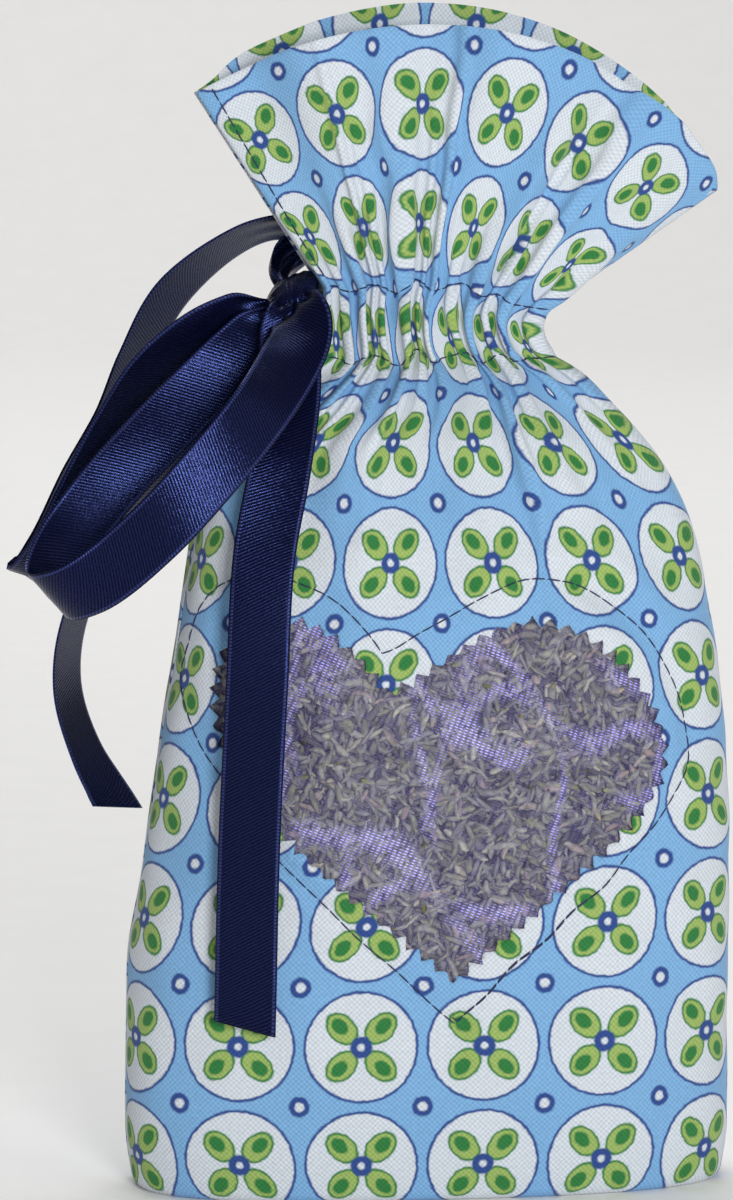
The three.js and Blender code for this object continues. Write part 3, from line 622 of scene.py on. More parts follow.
def heart(size, notch, count):
    """Heart outline in the front view: six cubic curves, sampled at even lengths."""
    curves = np.array([
        [[-0.13, notch], [-0.03, notch + 0.02], [0.07, 0.484], [0.2, 0.484]],
        [[0.2, 0.484], [0.34, 0.484], [0.5, 0.28], [0.5, 0.1]],
        [[0.5, 0.1], [0.5, -0.07], [0.17, -0.32], [0.02, -0.5]],
        [[0.02, -0.5], [-0.14, -0.33], [-0.5, -0.02], [-0.5, 0.25]],
        [[-0.5, 0.25], [-0.5, 0.4], [-0.45, 0.5], [-0.36, 0.5]],
        [[-0.36, 0.5], [-0.27, 0.5], [-0.18, notch + 0.1], [-0.13, notch]],
    ])
    t = np.linspace(0, 1, 80)[:, None]
    a, b, c, d = (curves[:, None, k] for k in range(4))
    line = a * (1 - t) ** 3 + 3 * b * t * (1 - t) ** 2 + 3 * c * t**2 * (1 - t) + d * t**3
    line = line.reshape(-1, 2) * size + HEART_CENTRE
    run = run_along(line)
    return at_run(line, run, np.linspace(0, run[-1], count, endpoint=False))


def pinked_edge():
    """Heart outline cut with pinking shears: a zigzag about the outline, with slightly frayed sides."""
    teeth = 72
    part = 3
    line = heart(HEART_SIZE, HEART_NOTCH, teeth * 2 * part)
    along = unit(np.roll(line, -1, 0) - np.roll(line, 1, 0))
    side = np.stack([-along[:, 1], along[:, 0]], 1)
    s = np.arange(len(line)) / part
    zigzag = 2 * np.abs(s % 2 - 1) - 1
    fray = np.random.default_rng(3).uniform(-0.09, 0.09, len(line))
    tall = np.repeat(np.random.default_rng(5).uniform(0.4, 1.0, teeth), 2 * part)
    return line + side * (tall * zigzag + fray)[:, None]


def inside(points, outline):
    """Whether points lie inside a closed outline: an upward ray crosses it an odd number of times."""
    x0, y0 = outline[:, 0], outline[:, 1]
    x1, y1 = np.roll(x0, -1), np.roll(y0, -1)
    px, py = points[:, :1], points[:, 1:2]
    crosses = (x0 > px) != (x1 > px)
    level = y0 + (y1 - y0) * (px - x0) / np.where(x1 == x0, 1e-12, x1 - x0)
    return (crosses & (py < level)).sum(1) % 2 == 1


def near(points, outline):
    """Distance of points to the nearest point of an outline."""
    return np.sqrt(((points[:, None] - outline[None]) ** 2).sum(2).min(1))


def window_cut(p, rows):
    """Mesh of the front panel with the heart cut out: grid quads away from it, and triangles fitted to
    the pinked edge near it. Returns points, faces and each point's fractional row and column."""
    edge = pinked_edge()
    row, column = find_on_front(p, rows, edge[:, 0], edge[:, 1])
    count = p.shape[0]
    r0, r1 = int(row.min()) - 3, int(row.max()) + 4
    c0, c1 = int(column.min()) - 3, int(column.max()) + 4
    cells = grid_faces(count, COLUMNS)
    cr, cc = np.divmod(cells[:, 0], COLUMNS)
    cells = cells[(cr < r0) | (cr >= r1) | (cc < c0) | (cc >= c1)]
    gr, gc = (g.ravel() for g in np.meshgrid(np.arange(r0, r1 + 1), np.arange(c0, c1 + 1), indexing="ij"))
    border = (gr == r0) | (gr == r1) | (gc == c0) | (gc == c1)
    # Rows and columns are about equally far apart, so the triangles are fitted in row and column numbers
    scale = np.array([1.1, 0.66])
    local = np.stack([gr, gc], 1) * scale
    cut = np.stack([row, column], 1) * scale
    keep = border | (~inside(local, cut) & (near(local, cut) > 0.33))
    gr, gc, local = gr[keep], gc[keep], local[keep]
    points = [Vector(q) for q in np.concatenate([local, cut])]
    loop = np.arange(len(cut)) + len(local)
    edges = list(zip(loop.tolist(), np.roll(loop, -1).tolist()))
    found = delaunay_2d_cdt(points, edges, [], 0, 1e-6)
    where = np.array([tuple(q) for q in found[0]])
    triangles = np.array(found[2])
    source = found[3]
    if any(len(s) != 1 for s in source):
        raise RuntimeError("the pinked edge touched the cloth's grid")
    origin = np.array([s[0] for s in source])
    middle = where[triangles].mean(1)
    triangles = origin[triangles[~inside(middle, cut)]]
    number = np.concatenate([gr * COLUMNS + gc, count * COLUMNS + np.arange(len(cut))])
    triangles = number[triangles]
    everything = np.concatenate([p.reshape(-1, 3), on_grid(p, row, column)])
    used = np.zeros(len(everything), bool)
    used[cells] = True
    used[triangles] = True
    renumber = np.cumsum(used) - 1
    a, b = (g.ravel() for g in np.meshgrid(np.arange(count), np.arange(COLUMNS), indexing="ij"))
    at_row = np.concatenate([a, row])[used]
    at_column = np.concatenate([b, column])[used]
    corners = everything[triangles]
    facing = np.cross(corners[:, 1] - corners[:, 0], corners[:, 2] - corners[:, 0])[:, 1]
    triangles[facing > 0] = triangles[facing > 0][:, ::-1]
    return everything[used], [renumber[cells], renumber[triangles]], at_row, at_column


PANELS = {"front": (FRONT_SEED, 0), "back": (BACK_SEED, BACK_EXTRA)}
GRIDS = {}


def panel_grid(label):
    """A panel's points, flat cloth and rows, made once and used by all that lies on it.
    The front panel is drawn in along the heart's stitch line."""
    if label not in GRIDS:
        GRIDS[label] = panel(*PANELS[label])
        if label == "front":
            p, _, rows = GRIDS[label]
            first, last = rows["body"]
            block = p[first:last]
            sewn = heart(SEWN_SIZE, SEWN_NOTCH, 260)
            away = near(block[..., [0, 2]].reshape(-1, 2), sewn).reshape(block.shape[:2])
            sink = 0.45 * np.exp(-(away / 1.5) ** 2)
            block[:] = block - normals_of(block) * sink[..., None]
    return GRIDS[label]


# Materials

def add(tree, kind, *values, at=None, out=0, **settings):
    """Adds one node with its settings; values go to its first inputs, and at to inputs by name or number.
    A socket is linked and anything else is set. Returns the numbered output, or the node if out is
    None."""
    made = tree.nodes.new("ShaderNode" + kind)
    for key, value in settings.items():
        setattr(made, key, value)
    for key, value in [*enumerate(values), *(at or {}).items()]:
        if isinstance(value, bpy.types.NodeSocket):
            tree.links.new(value, made.inputs[key])
        elif value is not None:
            made.inputs[key].default_value = value
    return made if out is None else made.outputs[out]


def new_material(name):
    """An empty material and its node tree."""
    material = bpy.data.materials.new(name)
    material.use_nodes = True
    material.node_tree.nodes.clear()
    return material, material.node_tree


def finish_material(material, surface):
    """Links the surface to the material's output."""
    add(material.node_tree, "OutputMaterial", at={"Surface": surface}, out=None)
    return material


def printed_cotton():
    """Plain-woven quilting cotton, printed: matt, with soft print edges and a fine thread grid.
    Flowers of four petals sit in white discs on a straight grid, with a dot between four discs."""
    material, t = new_material("Printed quilting cotton, plain weave")
    uv = add(t, "UVMap", uv_map="Cloth")
    # Print edges wander by about 0.15 mm along the threads
    wander = add(t, "TexNoise", at={"Vector": uv, "Scale": 0.9, "Detail": 2.0}, out=1)
    wander = add(t, "VectorMath", wander, (0.5, 0.5, 0.5), operation="SUBTRACT")
    wander = add(t, "VectorMath", wander, (0.5, 0.5, 0.0), operation="MULTIPLY")
    drawn = add(t, "VectorMath", uv, wander, operation="ADD")
    pitch = size_mm("motif_pitch")
    cell = add(t, "VectorMath", drawn, at={"Scale": 1 / pitch}, operation="SCALE")
    cell = add(t, "VectorMath", cell, operation="FRACTION")
    cell = add(t, "VectorMath", cell, (0.5, 0.5, 0), operation="SUBTRACT")
    radius = add(t, "VectorMath", cell, operation="LENGTH", out=1)
    folded = add(t, "VectorMath", cell, operation="ABSOLUTE")
    split = add(t, "SeparateXYZ", folded, out=None)
    x, y = split.outputs[0], split.outputs[1]
    # Petals point along the cell's diagonals
    half_root = 0.7071
    out = add(t, "Math", add(t, "Math", x, y, operation="ADD"), half_root, operation="MULTIPLY")
    side = add(t, "Math", add(t, "Math", x, y, operation="SUBTRACT"), half_root, operation="MULTIPLY")

    def oval(centre, long, wide):
        """Distance from an oval's centre on the diagonal, 1 at its edge."""
        a = add(t, "Math", out, centre, operation="SUBTRACT")
        a = add(t, "Math", a, 1 / long, operation="MULTIPLY")
        b = add(t, "Math", side, 1 / wide, operation="MULTIPLY")
        both = add(t, "CombineXYZ", a, b, 0.0)
        return add(t, "VectorMath", both, operation="LENGTH", out=1)

    def within(value, edge, soft):
        """1 inside the edge and 0 outside it, with a soft step between."""
        return add(t, "MapRange", value, edge - soft, edge + soft, 1.0, 0.0,
                   interpolation_type="SMOOTHSTEP")

    corner = add(t, "VectorMath", (0.5, 0.5, 0), folded, operation="SUBTRACT")
    corner = add(t, "VectorMath", corner, operation="LENGTH", out=1)
    petal = oval(0.222, 0.142, 0.1)
    eye = oval(0.25, 0.078, 0.055)
    layers = [
        (within(corner, 0.085, 0.012), "navy_print"),
        (within(corner, 0.04, 0.012), "white"),
        (within(radius, 0.468, 0.01), "navy_print"),
        (within(radius, 0.445, 0.01), "white"),
        (within(petal, 1.1, 0.09), "leaf"),
        (within(petal, 0.94, 0.09), "lime"),
        (within(eye, 1.0, 0.2), "leaf"),
        (within(radius, 0.09, 0.012), "navy_print"),
        (within(radius, 0.03, 0.012), "white"),
    ]
    shown = colour("ground")
    for mask, name in layers:
        shown = add(t, "Mix", at={0: mask, 6: shown, 7: colour(name)}, out=2, data_type="RGBA")
    # Threads: a plain weave's over-and-under, two threads to a period in each direction
    spacing = size_mm("thread_spacing")
    weave = add(t, "VectorMath", uv, at={"Scale": np.pi / spacing}, operation="SCALE")
    weave = add(t, "VectorMath", weave, operation="SINE")
    parts = add(t, "SeparateXYZ", weave, out=None)
    thread = add(t, "Math", parts.outputs[0], parts.outputs[1], operation="MULTIPLY")
    slub = add(t, "TexNoise", at={"Vector": uv, "Scale": 1.6, "Detail": 3.0})
    tone = add(t, "MapRange", thread, -1.0, 1.0, 0.8, 1.08)
    tone = add(t, "Math", tone, add(t, "MapRange", slub, 0.3, 0.7, 0.93, 1.04), operation="MULTIPLY")
    shown = add(t, "Mix", at={0: 1.0, 6: shown, 7: tone}, out=2, data_type="RGBA", blend_type="MULTIPLY")
    height = add(t, "Math", thread, add(t, "Math", slub, 1.2, operation="MULTIPLY"), operation="ADD")
    bump = add(t, "Bump", at={"Height": height, "Strength": 0.35, "Distance": 0.00012})
    surface = add(t, "BsdfPrincipled", at={
        "Base Color": shown, "Roughness": 0.85, "Specular IOR Level": 0.25, "Sheen Weight": 0.12,
        "Sheen Roughness": 0.5, "Normal": bump})
    return finish_material(material, surface)


def satin():
    """Woven polyester satin ribbon: long floats give a broad blue sheen along the ribbon, and the woven
    selvedges show as two finer lines, painted lighter as a painted highlight along the edges."""
    material, t = new_material("Polyester satin ribbon, woven edge")
    uv = add(t, "UVMap", uv_map="Cloth")
    split = add(t, "SeparateXYZ", uv, out=None)
    across, along = split.outputs[0], split.outputs[1]
    # The floats' slanting rows, really 0.15 mm apart, are drawn 0.5 mm apart so that they show
    slant = add(t, "Mapping", uv, at={"Rotation": (0.0, 0.0, 0.5)})
    twill = add(t, "VectorMath", slant, (2 * np.pi / 1.6, 2 * np.pi / 0.5, 1.0), operation="MULTIPLY")
    twill = add(t, "SeparateXYZ", add(t, "VectorMath", twill, operation="SINE"), out=None)
    fleck = add(t, "TexNoise", at={"Vector": uv, "Scale": 3.2, "Detail": 2.0, "Roughness": 0.7})
    fleck = add(t, "MapRange", fleck, 0.35, 0.65, 0.0, 1.0)
    streak = add(t, "MapRange", twill.outputs[1], -1.0, 1.0, 0.0, 0.6)
    streak = add(t, "Math", streak, add(t, "Math", fleck, 0.4, operation="MULTIPLY"), operation="ADD")
    edge = add(t, "Math", across, operation="ABSOLUTE")
    edge = add(t, "Math", edge, 4.55, operation="SUBTRACT")
    edge = add(t, "Math", edge, operation="ABSOLUTE")
    selvedge_and_highlight = add(t, "MapRange", edge, 0.12, 0.3, 1.0, 0.0, interpolation_type="SMOOTHSTEP")
    # Selvedge picks 0.55 mm apart
    pick = add(t, "Math", add(t, "Math", along, 2 * np.pi / 0.55, operation="MULTIPLY"), operation="SINE")
    pick = add(t, "MapRange", pick, -0.2, 0.6, 0.25, 1.0)
    dash = add(t, "Math", selvedge_and_highlight, pick, operation="MULTIPLY")
    base = add(t, "Mix", at={0: streak, 6: colour("ribbon"),
                             7: (*linear("#070922"), 1)}, out=2, data_type="RGBA")
    # The selvedge picks are painted lighter: the woven edge with a painted highlight on it
    base = add(t, "Mix", at={0: add(t, "Math", dash, 0.45, operation="MULTIPLY"), 6: base,
                             7: (*linear("#46508C"), 1)}, out=2, data_type="RGBA")
    height = add(t, "Math", streak, add(t, "Math", dash, 0.8, operation="MULTIPLY"), operation="ADD")
    bump = add(t, "Bump", at={"Height": height, "Strength": 0.35, "Distance": 0.0001})
    rough = add(t, "MapRange", streak, 0.0, 1.0, 0.31, 0.2)
    shine = add(t, "MapRange", streak, 0.1, 1.0, 0.1, 0.9)
    surface = add(t, "BsdfPrincipled", at={
        "Base Color": base, "Roughness": rough, "Specular IOR Level": shine, "Anisotropic": 0.6,
        "Tangent": add(t, "Tangent", direction_type="UV_MAP", uv_map="Cloth"),
        "Specular Tint": (*linear("#8298FF"), 1), "Normal": bump})
    return finish_material(material, surface)


def organza():
    """Sheer iridescent organza: an open net of fine shiny threads that shows what lies behind it, with
    lilac sparkles painted into its colour and opacity in bands where the cloth is bent to the light:
    painted highlights."""
    material, t = new_material("Iridescent nylon organza, open weave")
    uv = add(t, "UVMap", uv_map="Cloth")
    fold = add(t, "Attribute", attribute_name="fold", out=2)
    # The net's real 0.2 mm is drawn at 0.45 by 0.9 mm so that it shows; threads glint in short dashes
    net = add(t, "Mapping", uv, at={"Rotation": (0.0, 0.0, 0.35)})
    net = add(t, "VectorMath", net, (2 * np.pi / 0.9, 2 * np.pi / 0.45, 1.0), operation="MULTIPLY")
    net = add(t, "VectorMath", net, operation="SINE")
    split = add(t, "SeparateXYZ", net, out=None)
    thread = add(t, "Math", add(t, "Math", split.outputs[0], 0.5, operation="MULTIPLY"), split.outputs[1],
                 operation="ADD")
    dash = add(t, "MapRange", thread, 0.3, 1.1, 0.0, 1.0, interpolation_type="SMOOTHSTEP")
    glint = add(t, "TexNoise", at={"Vector": uv, "Scale": 0.55, "Detail": 4.0, "Roughness": 0.75})
    glint = add(t, "MapRange", glint, 0.32, 0.58, 0.0, 1.0)
    # Painted highlights: the sparkles grow with the fold bands, where the cloth is bent to the light, and
    # go into the colour and the opacity
    lit = add(t, "Math", add(t, "Math", fold, 1.25, operation="MULTIPLY"), 0.24, operation="ADD")
    lit = add(t, "Math", lit, glint, operation="MULTIPLY")
    sparkle = add(t, "Math", lit, dash, operation="MULTIPLY", use_clamp=True)
    dense = add(t, "Math", add(t, "Math", sparkle, 0.85, operation="MULTIPLY"),
                add(t, "Math", lit, 0.2, operation="MULTIPLY"), operation="ADD")
    alpha = add(t, "Math", dense, 0.09, operation="ADD", use_clamp=True)
    shown = add(t, "Mix", at={0: sparkle, 6: colour("organza"), 7: (*linear("#B6AEFF"), 1)}, out=2,
                data_type="RGBA")
    surface = add(t, "BsdfPrincipled", at={
        "Base Color": shown, "Roughness": 0.4, "Specular IOR Level": 0.6, "Alpha": alpha,
        "Sheen Weight": 0.3, "Sheen Roughness": 0.3, "Sheen Tint": (*linear("#A79CFF"), 1)})
    return finish_material(material, surface)


def dried_lavender():
    """Dried lavender buds: papery, ribbed husks, grey-brown with a grey-violet cast, matt and uneven."""
    material, t = new_material("Dried lavender husk, ribbed and papery")
    tint = add(t, "Attribute", attribute_name="tint", out=2)
    place = add(t, "TexCoord", out=3)
    speck = add(t, "TexNoise", at={"Vector": place, "Scale": 900.0, "Detail": 3.0})
    ramp = add(t, "ValToRGB", tint, out=None)
    # The lowest stops are dark husks, and also the painted shade of the bed and of the deeper buds
    stops = [(0.0, "#292925"), (0.2, "#595849"), (0.38, "#80805C"), (0.55, "#93957F"), (0.7, "#73746B"),
             (0.82, "#AFAF94"), (0.92, "#9A8A78"), (1.0, "#6A6A7B")]
    while len(ramp.color_ramp.elements) < len(stops):
        ramp.color_ramp.elements.new(0.5)
    for element, (spot, code) in zip(ramp.color_ramp.elements, stops):
        element.position = spot
        element.color = (*linear(code), 1)
    tone = add(t, "MapRange", speck, 0.3, 0.7, 0.6, 1.35)
    shown = add(t, "Mix", at={0: 1.0, 6: ramp.outputs[0], 7: tone}, out=2, data_type="RGBA",
                blend_type="MULTIPLY")
    bump = add(t, "Bump", at={"Height": speck, "Strength": 0.5, "Distance": 0.0002})
    surface = add(t, "BsdfPrincipled", at={
        "Base Color": shown, "Roughness": 0.9, "Specular IOR Level": 0.2, "Normal": bump})
    return finish_material(material, surface)


def sewing_thread(name, dye):
    """Twisted polyester sewing thread: dull sheen, with the ply as slanting lines painted lighter, a
    painted highlight along the twist, drawn 0.5 mm apart so that they show."""
    material, t = new_material(name)
    uv = add(t, "UVMap", uv_map="Cloth")
    ply = add(t, "TexWave", at={"Vector": uv, "Scale": 0.9, "Distortion": 0.5},
              bands_direction="DIAGONAL")
    # Painted highlight: the ply's ridges are 1.6 times lighter than the dye
    lit = (*(1.6 * part for part in dye[:3]), 1)
    shown = add(t, "Mix", at={0: ply, 6: dye, 7: lit}, out=2, data_type="RGBA")
    bump = add(t, "Bump", at={"Height": ply, "Strength": 0.5, "Distance": 0.0001})
    surface = add(t, "BsdfPrincipled", at={
        "Base Color": shown, "Roughness": 0.6, "Specular IOR Level": 0.4, "Normal": bump})
    return finish_material(material, surface)


def studio_paper():
    """Seamless background paper: pale and matt, with a faint fibre."""
    material, t = new_material("Seamless background paper, matt")
    place = add(t, "TexCoord", out=3)
    fibre = add(t, "TexNoise", at={"Vector": place, "Scale": 60.0, "Detail": 2.0})
    tone = add(t, "MapRange", fibre, 0.3, 0.7, 0.985, 1.0)
    shown = add(t, "Mix", at={0: 1.0, 6: (*linear("#FBFAF8"), 1), 7: tone}, out=2, data_type="RGBA",
                blend_type="MULTIPLY")
    surface = add(t, "BsdfPrincipled", at={
        "Base Color": shown, "Roughness": 0.9, "Specular IOR Level": 0.1})
    return finish_material(material, surface)


MATERIALS = {}


def material_once(make, *values):
    """The material that a function makes, made once for each of its values."""
    key = (make.__name__, *map(str, values))
    if key not in MATERIALS:
        MATERIALS[key] = make(*values)
    return MATERIALS[key]


def dress(obj, material, body, slot, *nodes):
    """Gives a piece its material and the body that it moves with, and hides the solids it stands for. The
    slot is not used.
    """
    obj.data.materials.append(material)
    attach(obj, body)
    if nodes:
        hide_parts(*nodes)
    return obj


# Ribbon pieces

RIBBON_STEP = 0.9


def ribbon_strip(name, route, slant=0, waves=(), seed=1, gathered=(0, 0)):
    """A flat ribbon with thickness along a route of points and width directions: the centreline is a
    spline, the width is squared to it, its two halves sway in waves, and its far end is cut on a slant.
    Over the gathered lengths at its ends it narrows to a third and lies in crimps that fade out."""
    count = int(route_through(route, 2)[1] / RIBBON_STEP)
    line, length = route_through(route, count)
    centre, wide = line[:, :3], line[:, 3:]
    along = unit(np.gradient(centre, axis=0))
    wide = unit(wide - (wide * along).sum(1, keepdims=True) * along)
    up = np.cross(along, wide)
    s = np.linspace(-1, 1, 25)
    run = np.linspace(0, length, count)
    cut = slant * smoothstep(1 - (length - run) / 6)
    # Each half has its own wave: a loop's inner strand lies looser than its outer one
    second = smoothstep((run - length / 2 + 7) / 14)
    settled = np.minimum(1, np.minimum(run, length - run) / 8)
    sway = np.zeros((count, len(s)))
    for (tall, first, long), share in zip(waves, (1 - second, second)):
        sway += tall * np.sin((run[:, None] - first) / long + 0.6 * s) * (share * settled)[:, None]
    drawn = np.zeros(count)
    for size, away in zip(gathered, (run, length - run)):
        if size:
            drawn = np.maximum(drawn, smoothstep(1 - away / size))
    start = np.random.default_rng(seed).uniform(0, 6)
    crimp = np.sin(7.5 * s + start + 0.4 * np.sin(run[:, None] / 3))
    sway = sway + 0.75 * drawn[:, None] * crimp
    half = size_mm("ribbon_width") / 2 * (1 - 0.62 * drawn)
    middle = (centre[:, None] + wide[:, None] * (half[:, None] * s)[..., None]
              + up[:, None] * sway[..., None] + along[:, None] * (cut[:, None] * s)[..., None])
    thin = size_mm("ribbon_thickness") / 2 * (1 - 0.75 * np.abs(s) ** 24)
    thick = up[:, None] * thin[None, :, None]
    ring = np.concatenate([middle + thick, (middle - thick)[:, ::-1]], 1)
    across = np.concatenate([s, s[::-1]]) * size_mm("ribbon_width") / 2
    uv = np.stack(np.broadcast_arrays(across[None, :], run[:, None]), -1)
    around = ring.shape[1]
    faces = grid_faces(count, around, ring=True)[:, ::-1]
    j = np.arange(len(s) - 1)
    cap = np.stack([j, j + 1, around - 2 - j, around - 1 - j], 1)
    obj = put_mesh(name, ring, [faces, cap, cap[:, ::-1] + (count - 1) * around], uv)
    return obj, centre, length


def loop_route(drawn):
    """Points and width directions of a bow loop, drawn from the knot in the front view."""
    p, q, y, tilt, turn = np.asarray(drawn, float).T[..., None]
    tilt, turn = np.radians(tilt), np.radians(turn)
    along = np.array([-np.cos(LOOP_FALL), 0, -np.sin(LOOP_FALL)])
    across = np.array([np.sin(LOOP_FALL), 0, -np.cos(LOOP_FALL)])
    back = np.array([0, 1.0, 0])
    wide = (across * np.cos(tilt) + back * np.sin(tilt)) * np.cos(turn) - along * np.sin(turn)
    return np.hstack([KNOT + p * along + q * across + y * back, wide])


def into_knot(route, *ends):
    """A ribbon's route with a point inside the knot added at its start (0) or its end (-1)."""
    route = np.asarray(route, float)
    for end in ends:
        inside_point = np.concatenate([KNOT + (route[end, :3] - KNOT) * 0.3, route[end, 3:]])
        route = np.vstack([inside_point, route]) if end == 0 else np.vstack([route, inside_point])
    return route


def tail_route(drawn):
    """Points and width directions of a tail, drawn from the knot."""
    drawn = np.asarray(drawn, float).copy()
    drawn[:, :3] += KNOT
    return drawn


def upright(points):
    """A route through points for a ribbon that stands on its edge."""
    return np.hstack([points, np.tile([0.0, 0.0, 1.0], (len(points), 1))])


class SACHET_OT_bow(bpy.types.Operator):
    """Loops, tails, strands and knot of the satin ribbon"""

    bl_idname = "sachet.bow"
    bl_label = "Ribbon and bow"

    def execute(self, context):
        cloth = material_once(satin)
        # Route, slant of the cut end, height, start and length of the wave in each half, gathered lengths
        plans = {
            "front_loop": (into_knot(loop_route(FRONT_LOOP), 0, -1), 0,
                           ((1.3, 26, 8.5), (0.48, 22.6, 6.5)), (8, 9)),
            "rear_loop": (into_knot(loop_route(REAR_LOOP), 0, -1), 0,
                          ((0.4, 3, 6.5), (0.12, 3, 6.5)), (8, 30)),
            "front_tail": (into_knot(tail_route(FRONT_TAIL), 0), 1.1,
                           ((0.3, 8, 6.5), (0.09, 8, 6.5)), (9, 0)),
            "rear_tail": (into_knot(tail_route(REAR_TAIL), 0), 2.4,
                          ((0.25, 0, 6.5), (0.075, 0, 6.5)), (10, 0)),
        }
        for seed, (name, (route, slant, waves, gathered)) in enumerate(plans.items()):
            obj, centre, length = ribbon_strip("satin_" + name, route, slant, waves, seed, gathered)
            dress(obj, cloth, name, "satin_ribbon", name)
        self.casing(cloth)
        self.knot(cloth)
        return {"FINISHED"}

    def casing(self, cloth):
        """Two strands from the knot into the casing, and the bend around its right end, all on edge."""
        z = (CASING_Z + CASING_TOP) / 2
        front = NECK_HALF_DEPTH + SEAM_GAP / 2
        end = -NECK_HALF + 13.5
        for name, side in (("front_strand", -1), ("back_strand", 1)):
            points = np.linspace([-NECK_HALF - 0.3, side * front, z], [end, side * front, z], 6)
            obj, _, _ = ribbon_strip("satin_" + name, upright(points))
            dress(obj, cloth, "bow", "satin_ribbon", name)
        turn = np.linspace(-np.pi / 2, np.pi / 2, 15)
        bend = NECK_HALF - NECK_HALF_DEPTH
        arc = np.stack([bend + NECK_HALF_DEPTH * np.cos(turn), front * np.sin(turn), 0 * turn + z], 1)
        straight = np.linspace([end + 1.2, -front, z], [bend - 2, -front, z], 6)
        points = np.vstack([straight, arc, straight[::-1] * [1, -1, 1]])
        obj, _, _ = ribbon_strip("satin_casing_ribbon", upright(points))
        dress(obj, cloth, "bag", "satin_ribbon", "casing_ribbon")

    def knot(self, cloth):
        """The knot: a rounded lump of gathered ribbon with one turn of ribbon drawn tight around its
        middle, as rings whose radius is a waist plus crimps and the winding's edges."""
        rows, around = 41, 80
        half_long, half_deep, half_high = 4.7, 5.6, 4.4
        turn = np.linspace(0, 2 * np.pi, around, endpoint=False)[None, :]
        s = np.linspace(-1, 1, rows)[:, None]
        waist = 0.9 + 0.12 * smoothstep((np.abs(s) - 0.1) / 0.5) + 0.13 * np.exp(-(s / 0.42) ** 6)
        crimp = 0.045 * np.sin(11 * turn + 2 * np.sin(3 * s)) * smoothstep((np.abs(s) - 0.35) / 0.3)
        wound = 0.03 * np.sin(14 * s + 1.5 * np.sin(turn)) * np.exp(-(s / 0.45) ** 6)
        radius = (waist + crimp + wound) * np.sqrt(np.clip(1 - np.abs(s) ** 3.2, 0, 1))
        lean = np.radians(20)
        along = half_long * s
        x = along * np.cos(lean) + 0.6 * np.sin(turn) * radius
        y = -0.6 + half_deep * radius * np.cos(turn)
        z = half_high * radius * np.sin(turn) + along * np.sin(lean)
        p = np.stack([x, y, z], -1) + KNOT
        uv = np.stack(np.broadcast_arrays(4.2 * s, turn * 5), -1)
        obj = put_mesh("satin_bow_knot", p, [grid_faces(rows, around, ring=True)], uv)
        dress(obj, cloth, "bow", "satin_ribbon", "bow_knot")


class SACHET_OT_panels(bpy.types.Operator):
    """Front panel with its heart window, and back panel"""

    bl_idname = "sachet.panels"
    bl_label = "Cotton panels"

    def execute(self, context):
        cloth = material_once(printed_cotton)
        p, flat, rows = panel_grid("front")
        points, faces, row, column = window_cut(p, rows)
        front_print, back_print = (3.0, 4.0), (9.0, 4.0)
        front = put_mesh("cotton_front_panel", points, faces, on_grid(flat, row, column) + front_print)
        p, flat, _ = panel_grid("back")
        grid = grid_faces(len(p), COLUMNS)[:, ::-1]
        uv = np.stack([CLOTH_WIDTH - flat[..., 0], flat[..., 1]], -1) + back_print
        back = put_mesh("cotton_back_panel", p * [1, -1, 1], [grid], uv)
        for obj, node in ((front, "front_panel"), (back, "back_panel")):
            wall = obj.modifiers.new("Cloth thickness", "SOLIDIFY")
            wall.thickness = sizes().cloth_thickness
            wall.offset = -1
            dress(obj, cloth, "bag", "printed_cotton", node)
        return {"FINISHED"}


class SACHET_OT_organza(bpy.types.Operator):
    """Sheer patch behind the heart window"""

    bl_idname = "sachet.organza"
    bl_label = "Organza window"

    def execute(self, context):
        """The patch follows the front panel one layer inside, with bands where it bends to the light."""
        p, flat, rows = panel_grid("front")
        first, last = rows["body"]
        z = p[first:last, COLUMNS // 2, 2]
        row = first + np.interp(np.linspace(20.5, 108.5, 150), z, np.arange(last - first))
        column = np.linspace(0.06, 0.94, 170) * (COLUMNS - 1)
        faces = grid_faces(len(row), len(column))
        r, c = (g.ravel() for g in np.meshgrid(row, column, indexing="ij"))
        normal = on_grid(normals_of(p), r, c)
        mm = on_grid(flat, r, c)
        bend = 7 * ripples(mm[:, 0], mm[:, 1], 4, 18, 40, 6)
        bands = np.zeros(len(mm))
        for turn, pitch, start in ((0.25, 19.0, 0.4), (-0.5, 26.0, 2.2), (1.2, 31.0, 4.0)):
            wave = (mm[:, 0] * np.cos(turn) + mm[:, 1] * np.sin(turn) + bend) * np.pi / pitch + start
            patchy = np.clip(0.6 + 0.8 * ripples(mm[:, 0], mm[:, 1], int(10 * pitch), 12, 30, 6), 0, 1)
            bands = np.maximum(bands, np.exp(-(np.sin(wave) / 0.2) ** 2) * patchy)
        place = on_grid(p, r, c) - unit(normal) * (0.62 - 0.12 * bands)[:, None]
        # The bands lift the patch a little, and as its fold attribute they place the organza's painted
        # sparkles
        obj = put_mesh("organza_patch", place, [faces], mm, {"fold": bands})
        dress(obj, material_once(organza), "bag", "organza", "organza_window")
        flat = (np.ptp(mm[:, 0]) * MM, np.ptp(mm[:, 1]) * MM)
        return {"FINISHED"}


